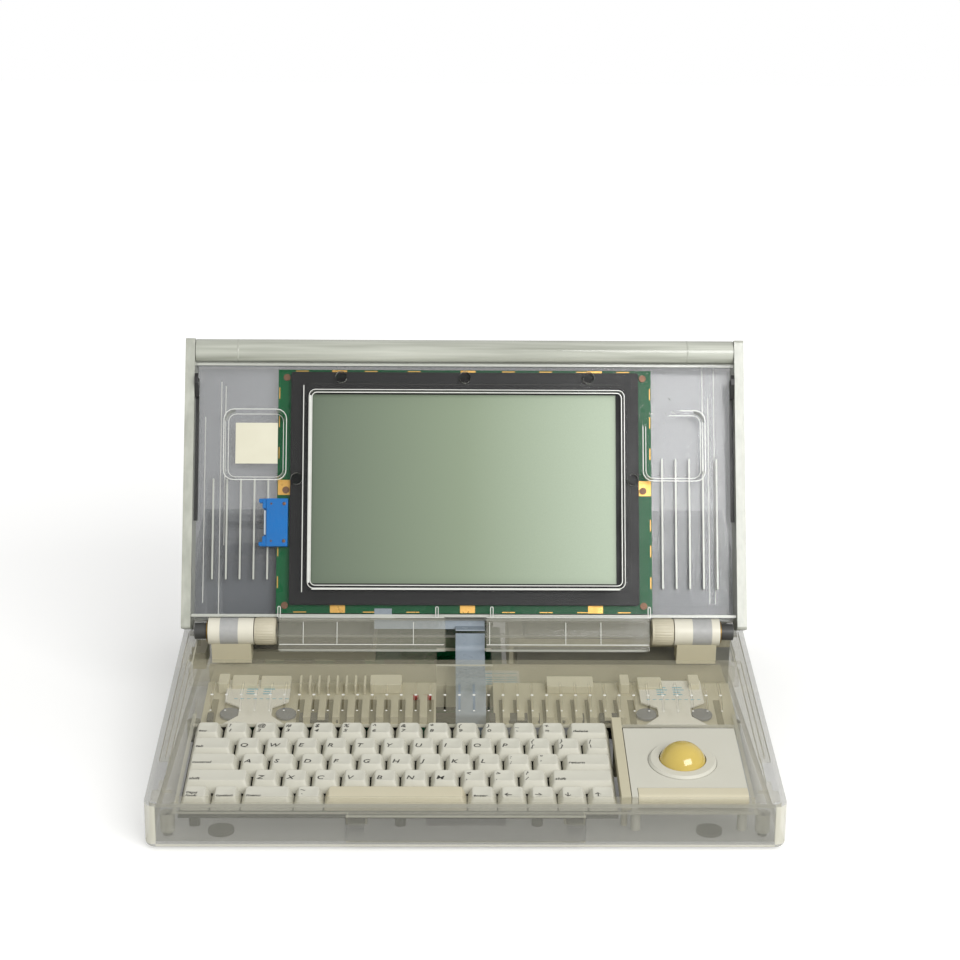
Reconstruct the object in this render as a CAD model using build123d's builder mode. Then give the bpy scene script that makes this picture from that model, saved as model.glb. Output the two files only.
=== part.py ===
"""Luggable computer in a clear case: base, hinged screen, keyboard, trackball and what they hold.

Millimetres. The origin is the centre of the base's underside, on the surface that it stands on.
+X is to the user's right, +Y to the back, +Z up. The screen stands open, as in use.
"""

import os
from math import cos, radians, sin, tan

from build123d import *

os.makedirs("parts", exist_ok=True)

# ---- Driving sizes: the case ----
case_width = 387.0
case_depth = 352.0
rear_height = 103.0
case_slope = 8.1  # the top of the closed case falls towards the front, degrees
wall = 3.0
case_corner = 7.0
foot_height = 2.0
foot_radius = 8.0

# ---- The hinge and the open screen ----
hinge_y = 24.0
hinge_z = 64.3
screen_lean = 23.5  # from vertical, as it stands in use, degrees
spare_tilt = 6.0  # how much further back it goes, degrees
barrel_radius = 9.2
barrel_length = 31.0
barrel_margin = 12.2  # from its outer end to the rail
shaft_radius = 3.0
running_gap = 0.05
hub_radius = 9.0
hub_length = 14.5
swing_radius = 20.5  # everything at the screen's lower end passes inside this

# ---- The lid, in its own plane: u upwards from the hinge axis, v towards the viewer ----
lid_length = 202.5
lid_back = 18.0
lid_wall = 3.0
rail_width = 6.5
rail_front = 6.0
rail_foot = 1.5
bezel_front = 3.0
bezel_plate = 2.0
bezel_low = 9.6
bezel_high = 186.0
lid_gap = 0.94  # closed, from the bezel to the deck
seam_gap = 0.35

# ---- The display ----
glass_height = 131.7
glass_low = 33.0
glass_centre = -0.5
glass_border = 15.3  # of the metal frame, at each side of the glass
lcd_margin = 66.2  # from the metal frame to the rail
board_margin = 57.0
lcd_frame_low = 18.3
lcd_frame_high = 180.3
lcd_frame_front = -3.0
lcd_lip = 0.8
board_low = 12.6
board_high = 182.6
board_front = -7.5
board_thick = 1.6
window_rim = 5.0
window_rim_height = 0.5

# ---- The deck, in its own plane: f forwards from the hinge axis, w upwards from the deck ----
deck_plate = 2.5
side_strip = 7.3  # of the lid's rail, outside the deck
well_rim = 11.0
deck_rear = 31.9
deck_front = 199.5
deck_break = 188.4
crease = 78.1
slope_foot = 97.6
slope_drop = 9.8
well_front = 191.2
slot_count = 36
slot_margin = 9.1
slot_middle = 1.2
slot_width = 1.4
slot_start = 60.0
slot_end = 88.0
trough_depth = 17.0
trough_margin = 3.2

# ---- Keyboard ----
row_units = 14.5  # each row's length, in key widths
key_gap = 0.8
keys_margin = 1.3
keys_back = 98.4  # back edge of the first row's skirts
key_skirt = -14.3  # the skirts' lower edge, below the deck
key_height = 7.5
key_wall = 1.3
key_travel = 3.0
key_side_draft = 2.7
key_back_draft = 2.2
key_front_draft = 3.4
switch_gap = 0.5
plate_thick = 1.5

# ---- Trackball ----
module_width = 71.2
module_margin = 3.2
module_back = 111.5
module_front = 190.4
module_top = -4.0
module_depth = 12.0
module_wall = 2.0
ball_radius = 15.0
ball_across = 34.4
ball_forward = 149.6
ball_sink = 2.9  # its centre is this far below the module's top
ring_radius = 21.3
ring_height = 1.8
ball_gap = 0.35
button_back = 180.0
button_travel = 1.5
roller_radius = 3.0
filler_width = 5.9
filler_gap = 0.5
filler_margin = 1.5

# ---- Latch ----
bar_radius = 8.3
bar_u = 194.7
bar_v = -2.5
latch_throw = 3.0
latch_low = 76.0

# ---- Display cable ----
ribbon = 0.6
ribbon_x = (-6.0, 14.0)
lid_ribbon_x = (-62.0, -10.0)

# ---- Handle ----
handle_half = 72.0
handle_arm = 10.0
handle_low = 6.0
handle_arm_height = 6.0
handle_grip_height = 16.0
handle_grip_depth = 9.0
handle_reach = 78.0
slide_gap = 0.3

# ---- Openings in the tray's walls: ports, disk slot and the two small buttons ----
port_x = (-150.0, 20.0)
port_z = (14.0, 36.0)
disk_y = (64.0, 158.0)
disk_z = (26.0, 31.0)
small_button_y = (60.0, 74.0)
small_button_z = 30.0
small_button_radius = 2.4
panel_gap = 0.2

# ---- Screws, and how far a cut runs past what it cuts ----
screw_radius = 1.5
screw_length = 14.0
head_radius = 3.0
head_height = 2.0
past = 1.0

# ---- Worked out from the sizes above ----
tilt = radians(case_slope)
lean = radians(screen_lean)
half_width = case_width / 2
half_depth = case_depth / 2
floor_top = foot_height + wall
lid_inner = half_width - rail_width
deck_half = half_width - side_strip
well_half = deck_half - well_rim
module_right = well_half - module_margin
module_left = module_right - module_width
filler_right = module_left - filler_gap
filler_left = filler_right - filler_width
keys_left = -well_half + keys_margin
row_width = filler_left - filler_margin - keys_left
key_pitch = row_width / row_units
key_size = key_pitch - key_gap
ball_x = module_left + ball_across
trough_half = deck_half - trough_margin
slot_pitch = 2 * (well_half - slot_margin) / (slot_count - 1)
barrel_outer = lid_inner - barrel_margin
barrel_inner = barrel_outer - barrel_length
lcd_half = lid_inner - lcd_margin
board_half = lid_inner - board_margin
glass_width = 2 * (lcd_half - glass_border)
board_back = board_front - board_thick
bezel_back = bezel_front - bezel_plate
plate_top = key_skirt - key_travel - switch_gap

# The case's four outer walls; z points out at the sides and the front, and in at the back.
front = Plane(origin=(0, -half_depth, 0), x_dir=(1, 0, 0), z_dir=(0, -1, 0))
back = Plane(origin=(0, half_depth, 0), x_dir=(1, 0, 0), z_dir=(0, -1, 0))
right = Plane(origin=(half_width, 0, 0), x_dir=(0, 1, 0), z_dir=(1, 0, 0))
left = Plane(origin=(-half_width, 0, 0), x_dir=(0, 1, 0), z_dir=(1, 0, 0))
# hinge_level runs through the hinge axis, along the closed lid; x is X, y is backwards.
hinge_level = Plane(origin=(0, hinge_y, hinge_z), x_dir=(1, 0, 0), z_dir=(0, -sin(tilt), cos(tilt)))
deck = hinge_level.offset(-(bezel_front + lid_gap))
seam = hinge_level.offset(-(rail_front + seam_gap))
# deck_side and lid_side look along X: (f, w) on the first, (v, u) on the second.
deck_side = Plane(origin=deck.origin, x_dir=(0, -cos(tilt), -sin(tilt)), z_dir=(-1, 0, 0))
lid = Plane(origin=hinge_level.origin, x_dir=(1, 0, 0), z_dir=(0, -cos(lean), sin(lean)))
lid_side = Plane(origin=lid.origin, x_dir=(0, -cos(lean), sin(lean)), z_dir=(-1, 0, 0))


def slab(plane, x_range, y_range, thickness, mode=Mode.ADD, corner=0.0):
    """Adds a rectangular slab to the piece being built, up from plane, between two x and two y."""
    width = x_range[1] - x_range[0]
    length = y_range[1] - y_range[0]
    with BuildSketch(plane) as outline:
        with Locations((x_range[0] + width / 2, y_range[0] + length / 2)):
            if corner:
                RectangleRounded(width, length, corner)
            else:
                Rectangle(width, length)
    extrude(outline.sketch, amount=thickness, mode=mode)


def on_deck(forward_range):
    """The y range on a plane parallel to the deck, from two distances in front of the hinge."""
    return (-forward_range[1], -forward_range[0])


def rod(plane, places, radius, length, mode=Mode.ADD):
    """Adds round rods to the piece being built, up from plane, at each of the places."""
    with BuildSketch(plane) as outline:
        with Locations(*places):
            Circle(radius)
    extrude(outline.sketch, amount=length, mode=mode)


def profile(plane, points, x_range, mode=Mode.ADD, corners=0.0):
    """Adds a straight bar along X to the piece being built, from its outline seen from the side."""
    start = plane.offset(-x_range[1]) if plane.z_dir.X < 0 else plane.offset(x_range[0])
    with BuildSketch(start) as outline:
        with BuildLine():
            Polyline(*points, close=True)
        make_face()
        if corners:
            fillet(outline.vertices(), corners)
    extrude(outline.sketch, amount=x_range[1] - x_range[0], mode=mode)


def spin(x_range, forward, up, radius, plane=hinge_level, mode=Mode.ADD):
    """Adds a cylinder along X to the piece being built, centred on (forward, up) of a deck plane."""
    centre = plane.from_local_coords((x_range[0], -forward, up))
    with BuildSketch(Plane(origin=centre, x_dir=(0, 1, 0), z_dir=(1, 0, 0))) as outline:
        Circle(radius)
    extrude(outline.sketch, amount=x_range[1] - x_range[0], mode=mode)


# ---- Base tray: the clear lower case, its rim cut along the seam ----
boss_radius = 4.5
boss_height = 12.0
boss_corners = ((12.0, -158.0), (12.0, -20.0), (9.5, 168.0))  # distance from the side, and Y
boss_places = [(side * (half_width - inset), y) for side in (-1, 1) for inset, y in boss_corners]
edge_round = 2.5

with BuildPart() as base_tray:
    with BuildSketch(Plane.XY.offset(foot_height)):
        RectangleRounded(case_width, case_depth, case_corner)
    extrude(amount=rear_height)
    fillet(base_tray.faces().sort_by(Axis.Z)[0].edges(), edge_round)
    with BuildSketch(Plane.XY.offset(floor_top)):
        RectangleRounded(case_width - 2 * wall, case_depth - 2 * wall, case_corner - wall)
    extrude(amount=rear_height, mode=Mode.SUBTRACT)
    rod(Plane.XY.offset(floor_top - wall / 2), boss_places, boss_radius, boss_height + wall / 2)
    split(bisect_by=seam, keep=Keep.BOTTOM)
    rod(Plane.XY.offset(foot_height), boss_places, screw_radius, screw_length, Mode.SUBTRACT)
    rod(Plane.XY.offset(foot_height), boss_places, head_radius, head_height, Mode.SUBTRACT)
    slab(
        front.offset(-wall - past),
        (-handle_half - slide_gap, handle_half + slide_gap),
        (handle_low - slide_gap, handle_low + handle_grip_height + slide_gap),
        wall + 2 * past,
        Mode.SUBTRACT,
    )
    slab(back.offset(-past), port_x, port_z, wall + 2 * past, Mode.SUBTRACT)
    slab(right.offset(-wall - past), disk_y, disk_z, wall + 2 * past, Mode.SUBTRACT)
    rod(
        left.offset(-past),
        [(y, small_button_z) for y in small_button_y],
        small_button_radius + panel_gap,
        wall + 2 * past,
        Mode.SUBTRACT,
    )
base_tray.part.label = "base_tray"
export_step(base_tray.part, "parts/base_tray.step")

# ---- Base deck: clear upper case with the keyboard well, the vents and the trough for the hinge ----
flange_top = -2.8
flange_thick = 2.5
flange_lap = 4.0
flange_front = 6.0
flange_rear = 12.0
skirt_depth = 14.0
catch_from = 150.0
catch_to = 178.6
catch_inset = 3.6
catch_depth = 10.0
trough_sink = trough_depth + lid_gap + bezel_front  # from the hinge axis down to its floor
trough_floor = hinge_level.offset(-trough_sink)
trough_side_low = 8.5  # its side walls end this far below the hinge axis
trough_lip = 6.0
trough_back = 16.0
cable_slot = 19.0
cable_slot_back = 14.0
trough_end = deck_half - 0.5

with BuildPart() as base_deck:
    slab(deck.offset(-deck_plate), (-deck_half, deck_half), on_deck((deck_rear, deck_break)), deck_plate)
    slab(
        deck.offset(flange_top - flange_thick),
        (-deck_half, deck_half),
        on_deck((deck_break - flange_lap, deck_front)),
        flange_thick,
    )
    slab(
        deck.offset(flange_top - flange_thick - past),
        (-well_half, well_half),
        on_deck((crease, well_front)),
        flange_thick - flange_top + 2 * past,
        Mode.SUBTRACT,
    )
    profile(
        deck_side,
        (
            (crease, 0),
            (slope_foot, -slope_drop),
            (slope_foot, -slope_drop - deck_plate),
            (crease - deck_plate * 0.4, -deck_plate),
        ),
        (-well_half, well_half),
    )
    for side in (-1, 1):
        inner, outer = sorted((side * well_half, side * (well_half + deck_plate)))
        slab(
            deck.offset(-skirt_depth),
            (inner, outer),
            on_deck((crease, well_front + deck_plate)),
            skirt_depth + flange_top,
        )
        slab(deck.offset(flange_top), (inner, outer), on_deck((crease, deck_break)), -flange_top)
        inner, outer = sorted((side * (deck_half - deck_plate), side * (half_width - wall - slide_gap)))
        slab(
            deck.offset(flange_top - flange_thick),
            (inner, outer),
            on_deck((-flange_rear, deck_front - flange_front)),
            flange_thick,
        )
        inner, outer = sorted((side * (deck_half - deck_plate), side * deck_half))
        slab(deck.offset(flange_top), (inner, outer), on_deck((deck_rear, deck_break)), -flange_top)
        inner, outer = sorted((side * trough_half, side * trough_end))
        slab(
            trough_floor,
            (inner, outer),
            on_deck((-trough_back, deck_rear)),
            trough_sink - trough_side_low,
        )
    slab(
        deck.offset(-skirt_depth),
        (-well_half - deck_plate, well_half + deck_plate),
        on_deck((well_front, well_front + deck_plate)),
        skirt_depth + flange_top,
    )
    slab(
        trough_floor.offset(-deck_plate),
        (-trough_end, trough_end),
        on_deck((-swing_radius, deck_rear + deck_plate)),
        deck_plate,
    )
    slab(
        trough_floor,
        (-trough_end, trough_end),
        on_deck((deck_rear, deck_rear + deck_plate)),
        trough_depth,
    )
    slab(
        trough_floor,
        (-trough_end, trough_end),
        on_deck((-swing_radius, -swing_radius + deck_plate)),
        trough_lip,
    )
    slab(
        trough_floor.offset(-deck_plate - past),
        (-cable_slot, cable_slot),
        on_deck((-cable_slot_back, deck_rear + deck_plate + past)),
        trough_depth,
        Mode.SUBTRACT,
    )
    with BuildSketch(deck.offset(-slope_drop)) as slots:
        with Locations((slot_middle, -(slot_start + slot_end) / 2)):
            with GridLocations(slot_pitch, 0, slot_count, 1):
                Rectangle(slot_width, slot_end - slot_start)
    extrude(slots.sketch, amount=slope_drop + past, mode=Mode.SUBTRACT)
    for side in (-1, 1):
        inner, outer = sorted((side * (lid_inner - catch_inset), side * (half_width - wall)))
        slab(
            deck.offset(-catch_depth),
            (inner, outer),
            on_deck((catch_from, catch_to)),
            catch_depth + past,
            Mode.SUBTRACT,
        )
        slab(
            deck.offset(-catch_depth),
            (inner, outer),
            on_deck((catch_to - past, catch_to + 2 * latch_throw)),
            catch_depth - deck_plate,
            Mode.SUBTRACT,
        )
base_deck.part.label = "base_deck"
export_step(base_deck.part, "parts/base_deck.step")

# ---- Rear cover: the clear hump behind the screen, with an opening for the battery ----
hump_clearance = 1.5  # between the screen, leant right back, and the hump, degrees
front_lean = radians(screen_lean + spare_tilt + hump_clearance)
hump_low = 40.0
foot_rise = 8.0
foot_y = hinge_y + swing_radius * cos(front_lean)
foot_z = hinge_z - swing_radius * sin(front_lean)
run = lid_back / cos(tilt) + (foot_y - hinge_y) * tan(tilt) + hinge_z - foot_z
rise = run / (cos(front_lean) - sin(front_lean) * tan(tilt))
ridge_y = foot_y + rise * sin(front_lean)
ridge_z = foot_z + rise * cos(front_lean)
level_y = ridge_y + (rear_height - ridge_z) / tan(tilt)
low_y = foot_y - (foot_z - hump_low) * tan(front_lean)
door_left = -half_width + 17.5
door_width = 112.0
door_x = (door_left, door_left + door_width)
door_back = (78.0, 134.0)
door_gap = 0.3
door_seat = 0.1
door_ledge = 3.0
door_ledge_thick = 2.0
pull_x = (door_x[1] - 22.0, door_x[1] - 8.0)
pull_back = (door_back[0] + 20.0, door_back[1] - 20.0)
pull_depth = 1.2
pull_corner = 2.0
hump_top = hinge_level.offset(lid_back)

with BuildPart() as rear_cover:
    with BuildSketch(Plane.YZ.offset(-half_width)) as hump:
        with BuildLine():
            Polyline(
                (low_y, hump_low),
                (ridge_y, ridge_z),
                (level_y, rear_height),
                (half_depth, rear_height),
                (half_depth, hump_low),
                close=True,
            )
        make_face()
        fillet(hump.vertices().group_by(Axis.Y)[-1].sort_by(Axis.Z)[-1], case_corner)
    extrude(hump.sketch, amount=case_width)
    with BuildSketch(Plane.YZ.offset(-half_width + wall)) as hollow:
        with BuildLine():
            Polyline(
                (low_y + wall / cos(front_lean), hump_low),
                (ridge_y + wall, ridge_z - wall),
                (level_y + wall, rear_height - wall),
                (half_depth - wall, rear_height - wall),
                (half_depth - wall, hump_low),
                close=True,
            )
        make_face()
    extrude(hollow.sketch, amount=case_width - 2 * wall, mode=Mode.SUBTRACT)
    split(bisect_by=seam.offset(seam_gap), keep=Keep.TOP)
    profile(
        Plane.YZ,
        (
            (foot_y, foot_z),
            (foot_y + foot_rise * tan(front_lean), foot_z + foot_rise),
            (foot_y + foot_rise * tan(front_lean) + wall, foot_z + foot_rise),
            (foot_y + wall, foot_z),
        ),
        (-half_width + wall + slide_gap, half_width - wall - slide_gap),
    )
    slab(
        hump_top.offset(-wall - door_ledge_thick),
        (door_x[0] - door_ledge, door_x[1] + door_ledge),
        (door_back[0] - door_ledge, door_back[1] + door_ledge),
        wall,
    )
    slab(hump_top.offset(-wall), door_x, door_back, wall + past, Mode.SUBTRACT)
    slab(
        hump_top.offset(-2 * wall),
        (door_x[0] + door_ledge, door_x[1] - door_ledge),
        (door_back[0] + door_ledge, door_back[1] - door_ledge),
        2 * wall + past,
        Mode.SUBTRACT,
    )
rear_cover.part.label = "rear_cover"
export_step(rear_cover.part, "parts/rear_cover.step")

# ---- Battery door: a flush plate that lifts off its ledge ----
with BuildPart() as battery_door:
    slab(
        hump_top.offset(-wall + door_seat),
        (door_x[0] + door_gap, door_x[1] - door_gap),
        (door_back[0] + door_gap, door_back[1] - door_gap),
        wall - door_seat,
    )
    slab(
        hump_top.offset(-pull_depth),
        pull_x,
        pull_back,
        pull_depth + past,
        Mode.SUBTRACT,
        pull_corner,
    )
battery_door.part.label = "battery_door"
export_step(battery_door.part, "parts/battery_door.step")

# ---- Port panel and the sockets in it, at the back ----
panel_flange = 2.0
panel_lap = 3.0
socket_rows = [(-140.0, 9.0), (-122.0, 9.0), (-104.0, 9.0), (4.0, 12.0)]
plug_rows = [(-82.0, 19.0), (-50.0, 26.0), (-18.0, 18.0)]
socket_z = (port_z[0] + port_z[1]) / 2
socket_height = 9.0
socket_radius = 3.0
socket_sink = 0.6
socket_length = 13.0
socket_depth = 5.0
plug_wall = 2.0
plug_height = 5.2
port_gap = 0.1

with BuildPart() as port_panel:
    slab(
        back,
        (port_x[0] + panel_gap, port_x[1] - panel_gap),
        (port_z[0] + panel_gap, port_z[1] - panel_gap),
        wall,
    )
    slab(
        back.offset(wall),
        (port_x[0] - panel_lap, port_x[1] + panel_lap),
        (port_z[0] - panel_lap, port_z[1] + panel_lap),
        panel_flange,
    )
    for place, size in socket_rows + plug_rows:
        slab(
            back.offset(-past),
            (place - size / 2, place + size / 2),
            (socket_z - socket_height / 2, socket_z + socket_height / 2),
            wall + panel_flange + 2 * past,
            Mode.SUBTRACT,
        )
port_panel.part.label = "port_panel"
export_step(port_panel.part, "parts/port_panel.step")

with BuildPart() as port_connectors:
    for place, size in socket_rows + plug_rows:
        slab(
            back.offset(socket_sink),
            (place - size / 2 + port_gap, place + size / 2 - port_gap),
            (socket_z - socket_height / 2 + port_gap, socket_z + socket_height / 2 - port_gap),
            socket_length,
        )
    rod(
        back,
        [(place, socket_z) for place, size in socket_rows],
        socket_radius,
        socket_sink + socket_depth,
        Mode.SUBTRACT,
    )
    for place, size in plug_rows:
        slab(
            back,
            (place - size / 2 + plug_wall, place + size / 2 - plug_wall),
            (socket_z - plug_height / 2, socket_z + plug_height / 2),
            socket_sink + socket_depth,
            Mode.SUBTRACT,
        )
port_connectors.part.label = "port_connectors"
export_step(port_connectors.part, "parts/port_connectors.step")

# ---- Logic board on posts, its chips and the upright memory card ----
battery_margin = 2.0
drive_x = (half_width - 155.5, half_width - 5.5)
drive_y = (60.0, 162.0)
battery_x = (door_x[0] + battery_margin, door_x[1] - battery_margin)
battery_y = (98.0, 160.0)
logic_x = (door_x[0], drive_x[0] - 10.0)
logic_y = (-48.0, 164.0)
logic_z = 12.0
post_inset = 8.0
post_rows = (-40.0, 60.0, 150.0)
post_columns = (logic_x[0] + post_inset, door_x[1] - post_inset / 2, logic_x[1] - post_inset)
post_places = [(x, y) for x in post_columns for y in post_rows]
post_radius = 3.0
chip_columns = 5
chip_rows = 6
chip_pitch = (36.0, 24.0)
chip_size = (22.0, 9.0)
chip_height = 4.0
chip_middle = ((logic_x[0] + logic_x[1]) / 2 - post_inset, 24.0)
card_x = (battery_x[1] + 20.0, logic_x[1] - post_inset)
card_y = 106.0
card_height = 34.0
card_chip = 3.5
card_chip_low = 8.0
card_chip_height = 16.0
board_face = logic_z + board_thick

with BuildPart() as logic_board:
    slab(Plane.XY.offset(logic_z), logic_x, logic_y, board_thick)
    rod(Plane.XY.offset(floor_top), post_places, post_radius, logic_z - floor_top)
logic_board.part.label = "logic_board"
export_step(logic_board.part, "parts/logic_board.step")

with BuildPart() as board_chips:
    with BuildSketch(Plane.XY.offset(board_face)):
        with Locations(chip_middle):
            with GridLocations(chip_pitch[0], chip_pitch[1], chip_columns, chip_rows):
                Rectangle(*chip_size)
    extrude(amount=chip_height)
board_chips.part.label = "board_chips"
export_step(board_chips.part, "parts/board_chips.step")

with BuildPart() as memory_card:
    slab(Plane.XY.offset(board_face), card_x, (card_y, card_y + board_thick), card_height)
    slab(
        Plane.XY.offset(board_face + card_chip_low),
        card_x,
        (card_y - card_chip, card_y),
        card_chip_height,
    )
memory_card.part.label = "memory_card"
export_step(memory_card.part, "parts/memory_card.step")

# ---- Drives in the hump, with the disk slot at the right, and the battery at the left ----
floppy_z = (9.0, 39.0)
disk_drive_x = (drive_x[0] + 4.0, drive_x[1] - 2.0)
disk_drive_z = (45.0, 70.0)
disk_drive_corner = 4.0
battery_foot = 7.0
battery_gap = 0.1
battery_height = 62.0
battery_corner = 3.0
battery_low = board_face + battery_foot + battery_gap
disk_depth = 90.0

with BuildPart() as floppy_drive:
    slab(Plane.XY.offset(floppy_z[0]), drive_x, drive_y, floppy_z[1] - floppy_z[0])
    slab(
        right.offset(drive_x[1] - half_width - disk_depth),
        (disk_y[0] + past, disk_y[1] - past),
        disk_z,
        disk_depth + past,
        Mode.SUBTRACT,
    )
floppy_drive.part.label = "floppy_drive"
export_step(floppy_drive.part, "parts/floppy_drive.step")

with BuildPart() as hard_drive:
    slab(Plane.XY.offset(disk_drive_z[0]), disk_drive_x, drive_y, disk_drive_z[1] - disk_drive_z[0])
    fillet(hard_drive.edges().filter_by(Axis.Z), disk_drive_corner)
hard_drive.part.label = "hard_drive"
export_step(hard_drive.part, "parts/hard_drive.step")

with BuildPart() as battery_pack:
    slab(Plane.XY.offset(battery_low), battery_x, battery_y, battery_height)
    fillet(battery_pack.edges(), battery_corner)
battery_pack.part.label = "battery_pack"
export_step(battery_pack.part, "parts/battery_pack.step")

# ---- Drive frame: the cream inner frame that is seen through the deck and the trough ----
shelf_top = 36.2
shelf_thick = 2.5
shelf_x = (-half_width + 21.5, half_width - 15.5)
shelf_y = (-12.0, 34.0)
shelf_drop = 12.5
shelf_lip = 3.0
fin_pitch = 6.1
fin_count = 9
fin_middle = -64.0
fin_thick = 1.6
fin_depth = 8.0
under_level = -17.0  # the plate below the vents
under_thick = 1.5
under_forward = (36.0, 90.0)
batten_middle = 65.0
batten_count = 9
batten_width = 4.6
batten_forward = (60.0, 88.0)
batten_top = -10.5
web_x = (drive_x[0] + 22.0, drive_x[1] - 38.0)
side_plate = 3.0
tray_plate = 4.0
battery_post = 4.0
post_depth = 6.0

with BuildPart() as drive_frame:
    slab(
        Plane.XY.offset(floppy_z[1]),
        (drive_x[0] - side_plate, drive_x[1]),
        drive_y,
        disk_drive_z[0] - floppy_z[1],
    )
    slab(
        Plane.XY.offset(floor_top),
        (drive_x[0] - 2 * side_plate, drive_x[0] - side_plate),
        drive_y,
        disk_drive_z[0] - floor_top,
    )
    slab(
        Plane.XY.offset(floor_top),
        (drive_x[0] - 2 * side_plate, drive_x[1]),
        drive_y,
        floppy_z[0] - floor_top,
    )
    slab(Plane.XY.offset(shelf_top - shelf_thick), shelf_x, shelf_y, shelf_thick)
    slab(
        Plane.XY.offset(shelf_top - shelf_drop),
        shelf_x,
        (shelf_y[0], shelf_y[0] + shelf_thick),
        shelf_drop + shelf_lip,
    )
    for side in (-1, 1):
        near, far = sorted((side * cable_slot, shelf_x[(side + 1) // 2]))
        slab(deck.offset(under_level), (near, far), on_deck(under_forward), under_thick)
        with BuildSketch(deck.offset(under_level)) as battens:
            with Locations((side * batten_middle, -sum(batten_forward) / 2)):
                with GridLocations(slot_pitch, 0, batten_count, 1):
                    Rectangle(batten_width, batten_forward[1] - batten_forward[0])
        extrude(battens.sketch, amount=batten_top - under_level)
    slab(Plane.XY.offset(floor_top), web_x, (shelf_y[1], drive_y[0]), tray_plate)
    slab(
        Plane.XY.offset(floor_top),
        web_x,
        (shelf_y[1] - shelf_thick, shelf_y[1]),
        shelf_top - shelf_thick - floor_top,
    )
    with BuildSketch(Plane.XY.offset(shelf_top - shelf_drop)) as fins:
        with Locations((fin_middle, shelf_y[0] - fin_depth / 2)):
            with GridLocations(fin_pitch, 0, fin_count, 1):
                Rectangle(fin_thick, fin_depth)
    extrude(fins.sketch, amount=shelf_drop)
    slab(
        Plane.XY.offset(board_face),
        (logic_x[0], battery_x[1] + battery_margin),
        (battery_y[0] - battery_margin, drive_y[1]),
        battery_foot,
    )
    slab(
        Plane.XY.offset(board_face),
        (logic_x[0], logic_x[0] + battery_post),
        (shelf_y[1] - post_depth, battery_y[0] - battery_margin),
        battery_foot,
    )
    slab(
        Plane.XY.offset(board_face),
        (logic_x[0], logic_x[0] + battery_post),
        (shelf_y[1] - post_depth, shelf_y[1]),
        shelf_top - board_face,
    )
drive_frame.part.label = "drive_frame"
export_step(drive_frame.part, "parts/drive_frame.step")

# ---- Speaker, on the tray's floor under the deck ----
speaker_place = (110.0, 0.0)
speaker_radius = 25.0
speaker_rim = 4.0
magnet_radius = 14.0
magnet_height = 5.0

with BuildPart() as speaker:
    rod(Plane.XY.offset(floor_top), [speaker_place], speaker_radius, speaker_rim)
    rod(Plane.XY.offset(floor_top + speaker_rim), [speaker_place], magnet_radius, magnet_height)
speaker.part.label = "speaker"
export_step(speaker.part, "parts/speaker.step")

# ---- Keyboard: five rows of keys, the rows equally long ----
key_rows = [
    [1] * 13 + [1.5],
    [1.5] + [1] * 13,
    [1.75] + [1] * 11 + [1.75],
    [2.25] + [1] * 10 + [2.25],
    [1, 1, 1.75, 1, 4.75, 1, 1, 1, 1, 1],
]
skirt_corner = 1.2
cap_corner = 1.8
switch_size = 13.0
switch_base = 2.0
switch_neck = (9.4, 8.8)
switch_height = 6.0
switch_floor = 1.0
stem_size = (4.0, 2.2)
stem_gap = 0.3
stem_end = 1.5
stem_root = 0.2
key_level = deck.offset(key_skirt)


def key_places(row, wanted):
    """Centres of the wanted keys of a row on the deck's plane: (x, y) pairs."""
    places = []
    for index in wanted:
        left = keys_left + sum(key_rows[row][:index]) * key_pitch
        middle = left + key_rows[row][index] * key_pitch / 2
        places.append((middle, -(keys_back + row * key_pitch + key_size / 2)))
    return places


def key_cap(units):
    """A hollow key cap with its stem, centred on its skirt's lower edge."""
    width = units * key_pitch - key_gap
    top_length = key_size - key_back_draft - key_front_draft
    top_shift = (key_front_draft - key_back_draft) / 2
    with BuildPart() as cap:
        with BuildSketch() as skirt:
            RectangleRounded(width, key_size, skirt_corner)
        with BuildSketch(Plane.XY.offset(key_height)) as top:
            with Locations((0, top_shift)):
                RectangleRounded(width - 2 * key_side_draft, top_length, cap_corner)
        loft([skirt.sketch, top.sketch])
        with BuildSketch() as mouth:
            Rectangle(width - 2 * key_wall, key_size - 2 * key_wall)
        with BuildSketch(Plane.XY.offset(key_height - key_wall)) as ceiling:
            with Locations((0, top_shift)):
                Rectangle(width - 2 * (key_side_draft + key_wall), top_length - 2 * key_wall)
        loft([mouth.sketch, ceiling.sketch], mode=Mode.SUBTRACT)
        with BuildSketch(Plane.XY.offset(stem_end)) as stem:
            Rectangle(*stem_size)
        extrude(stem.sketch, amount=key_height - key_wall - stem_end + stem_root)
    return cap.part


unit_cap = key_cap(1)

with BuildPart(key_level) as number_row_keys:
    with Locations(*key_places(0, range(13))):
        add(unit_cap)
number_row_keys.part.label = "number_row_keys"
export_step(number_row_keys.part, "parts/number_row_keys.step")

with BuildPart(key_level) as delete_key:
    with Locations(*key_places(0, [13])):
        add(key_cap(key_rows[0][13]))
delete_key.part.label = "delete_key"
export_step(delete_key.part, "parts/delete_key.step")

with BuildPart(key_level) as tab_key:
    with Locations(*key_places(1, [0])):
        add(key_cap(key_rows[1][0]))
tab_key.part.label = "tab_key"
export_step(tab_key.part, "parts/tab_key.step")

with BuildPart(key_level) as top_letter_keys:
    with Locations(*key_places(1, range(1, 14))):
        add(unit_cap)
top_letter_keys.part.label = "top_letter_keys"
export_step(top_letter_keys.part, "parts/top_letter_keys.step")

with BuildPart(key_level) as control_key:
    with Locations(*key_places(2, [0])):
        add(key_cap(key_rows[2][0]))
control_key.part.label = "control_key"
export_step(control_key.part, "parts/control_key.step")

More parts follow.
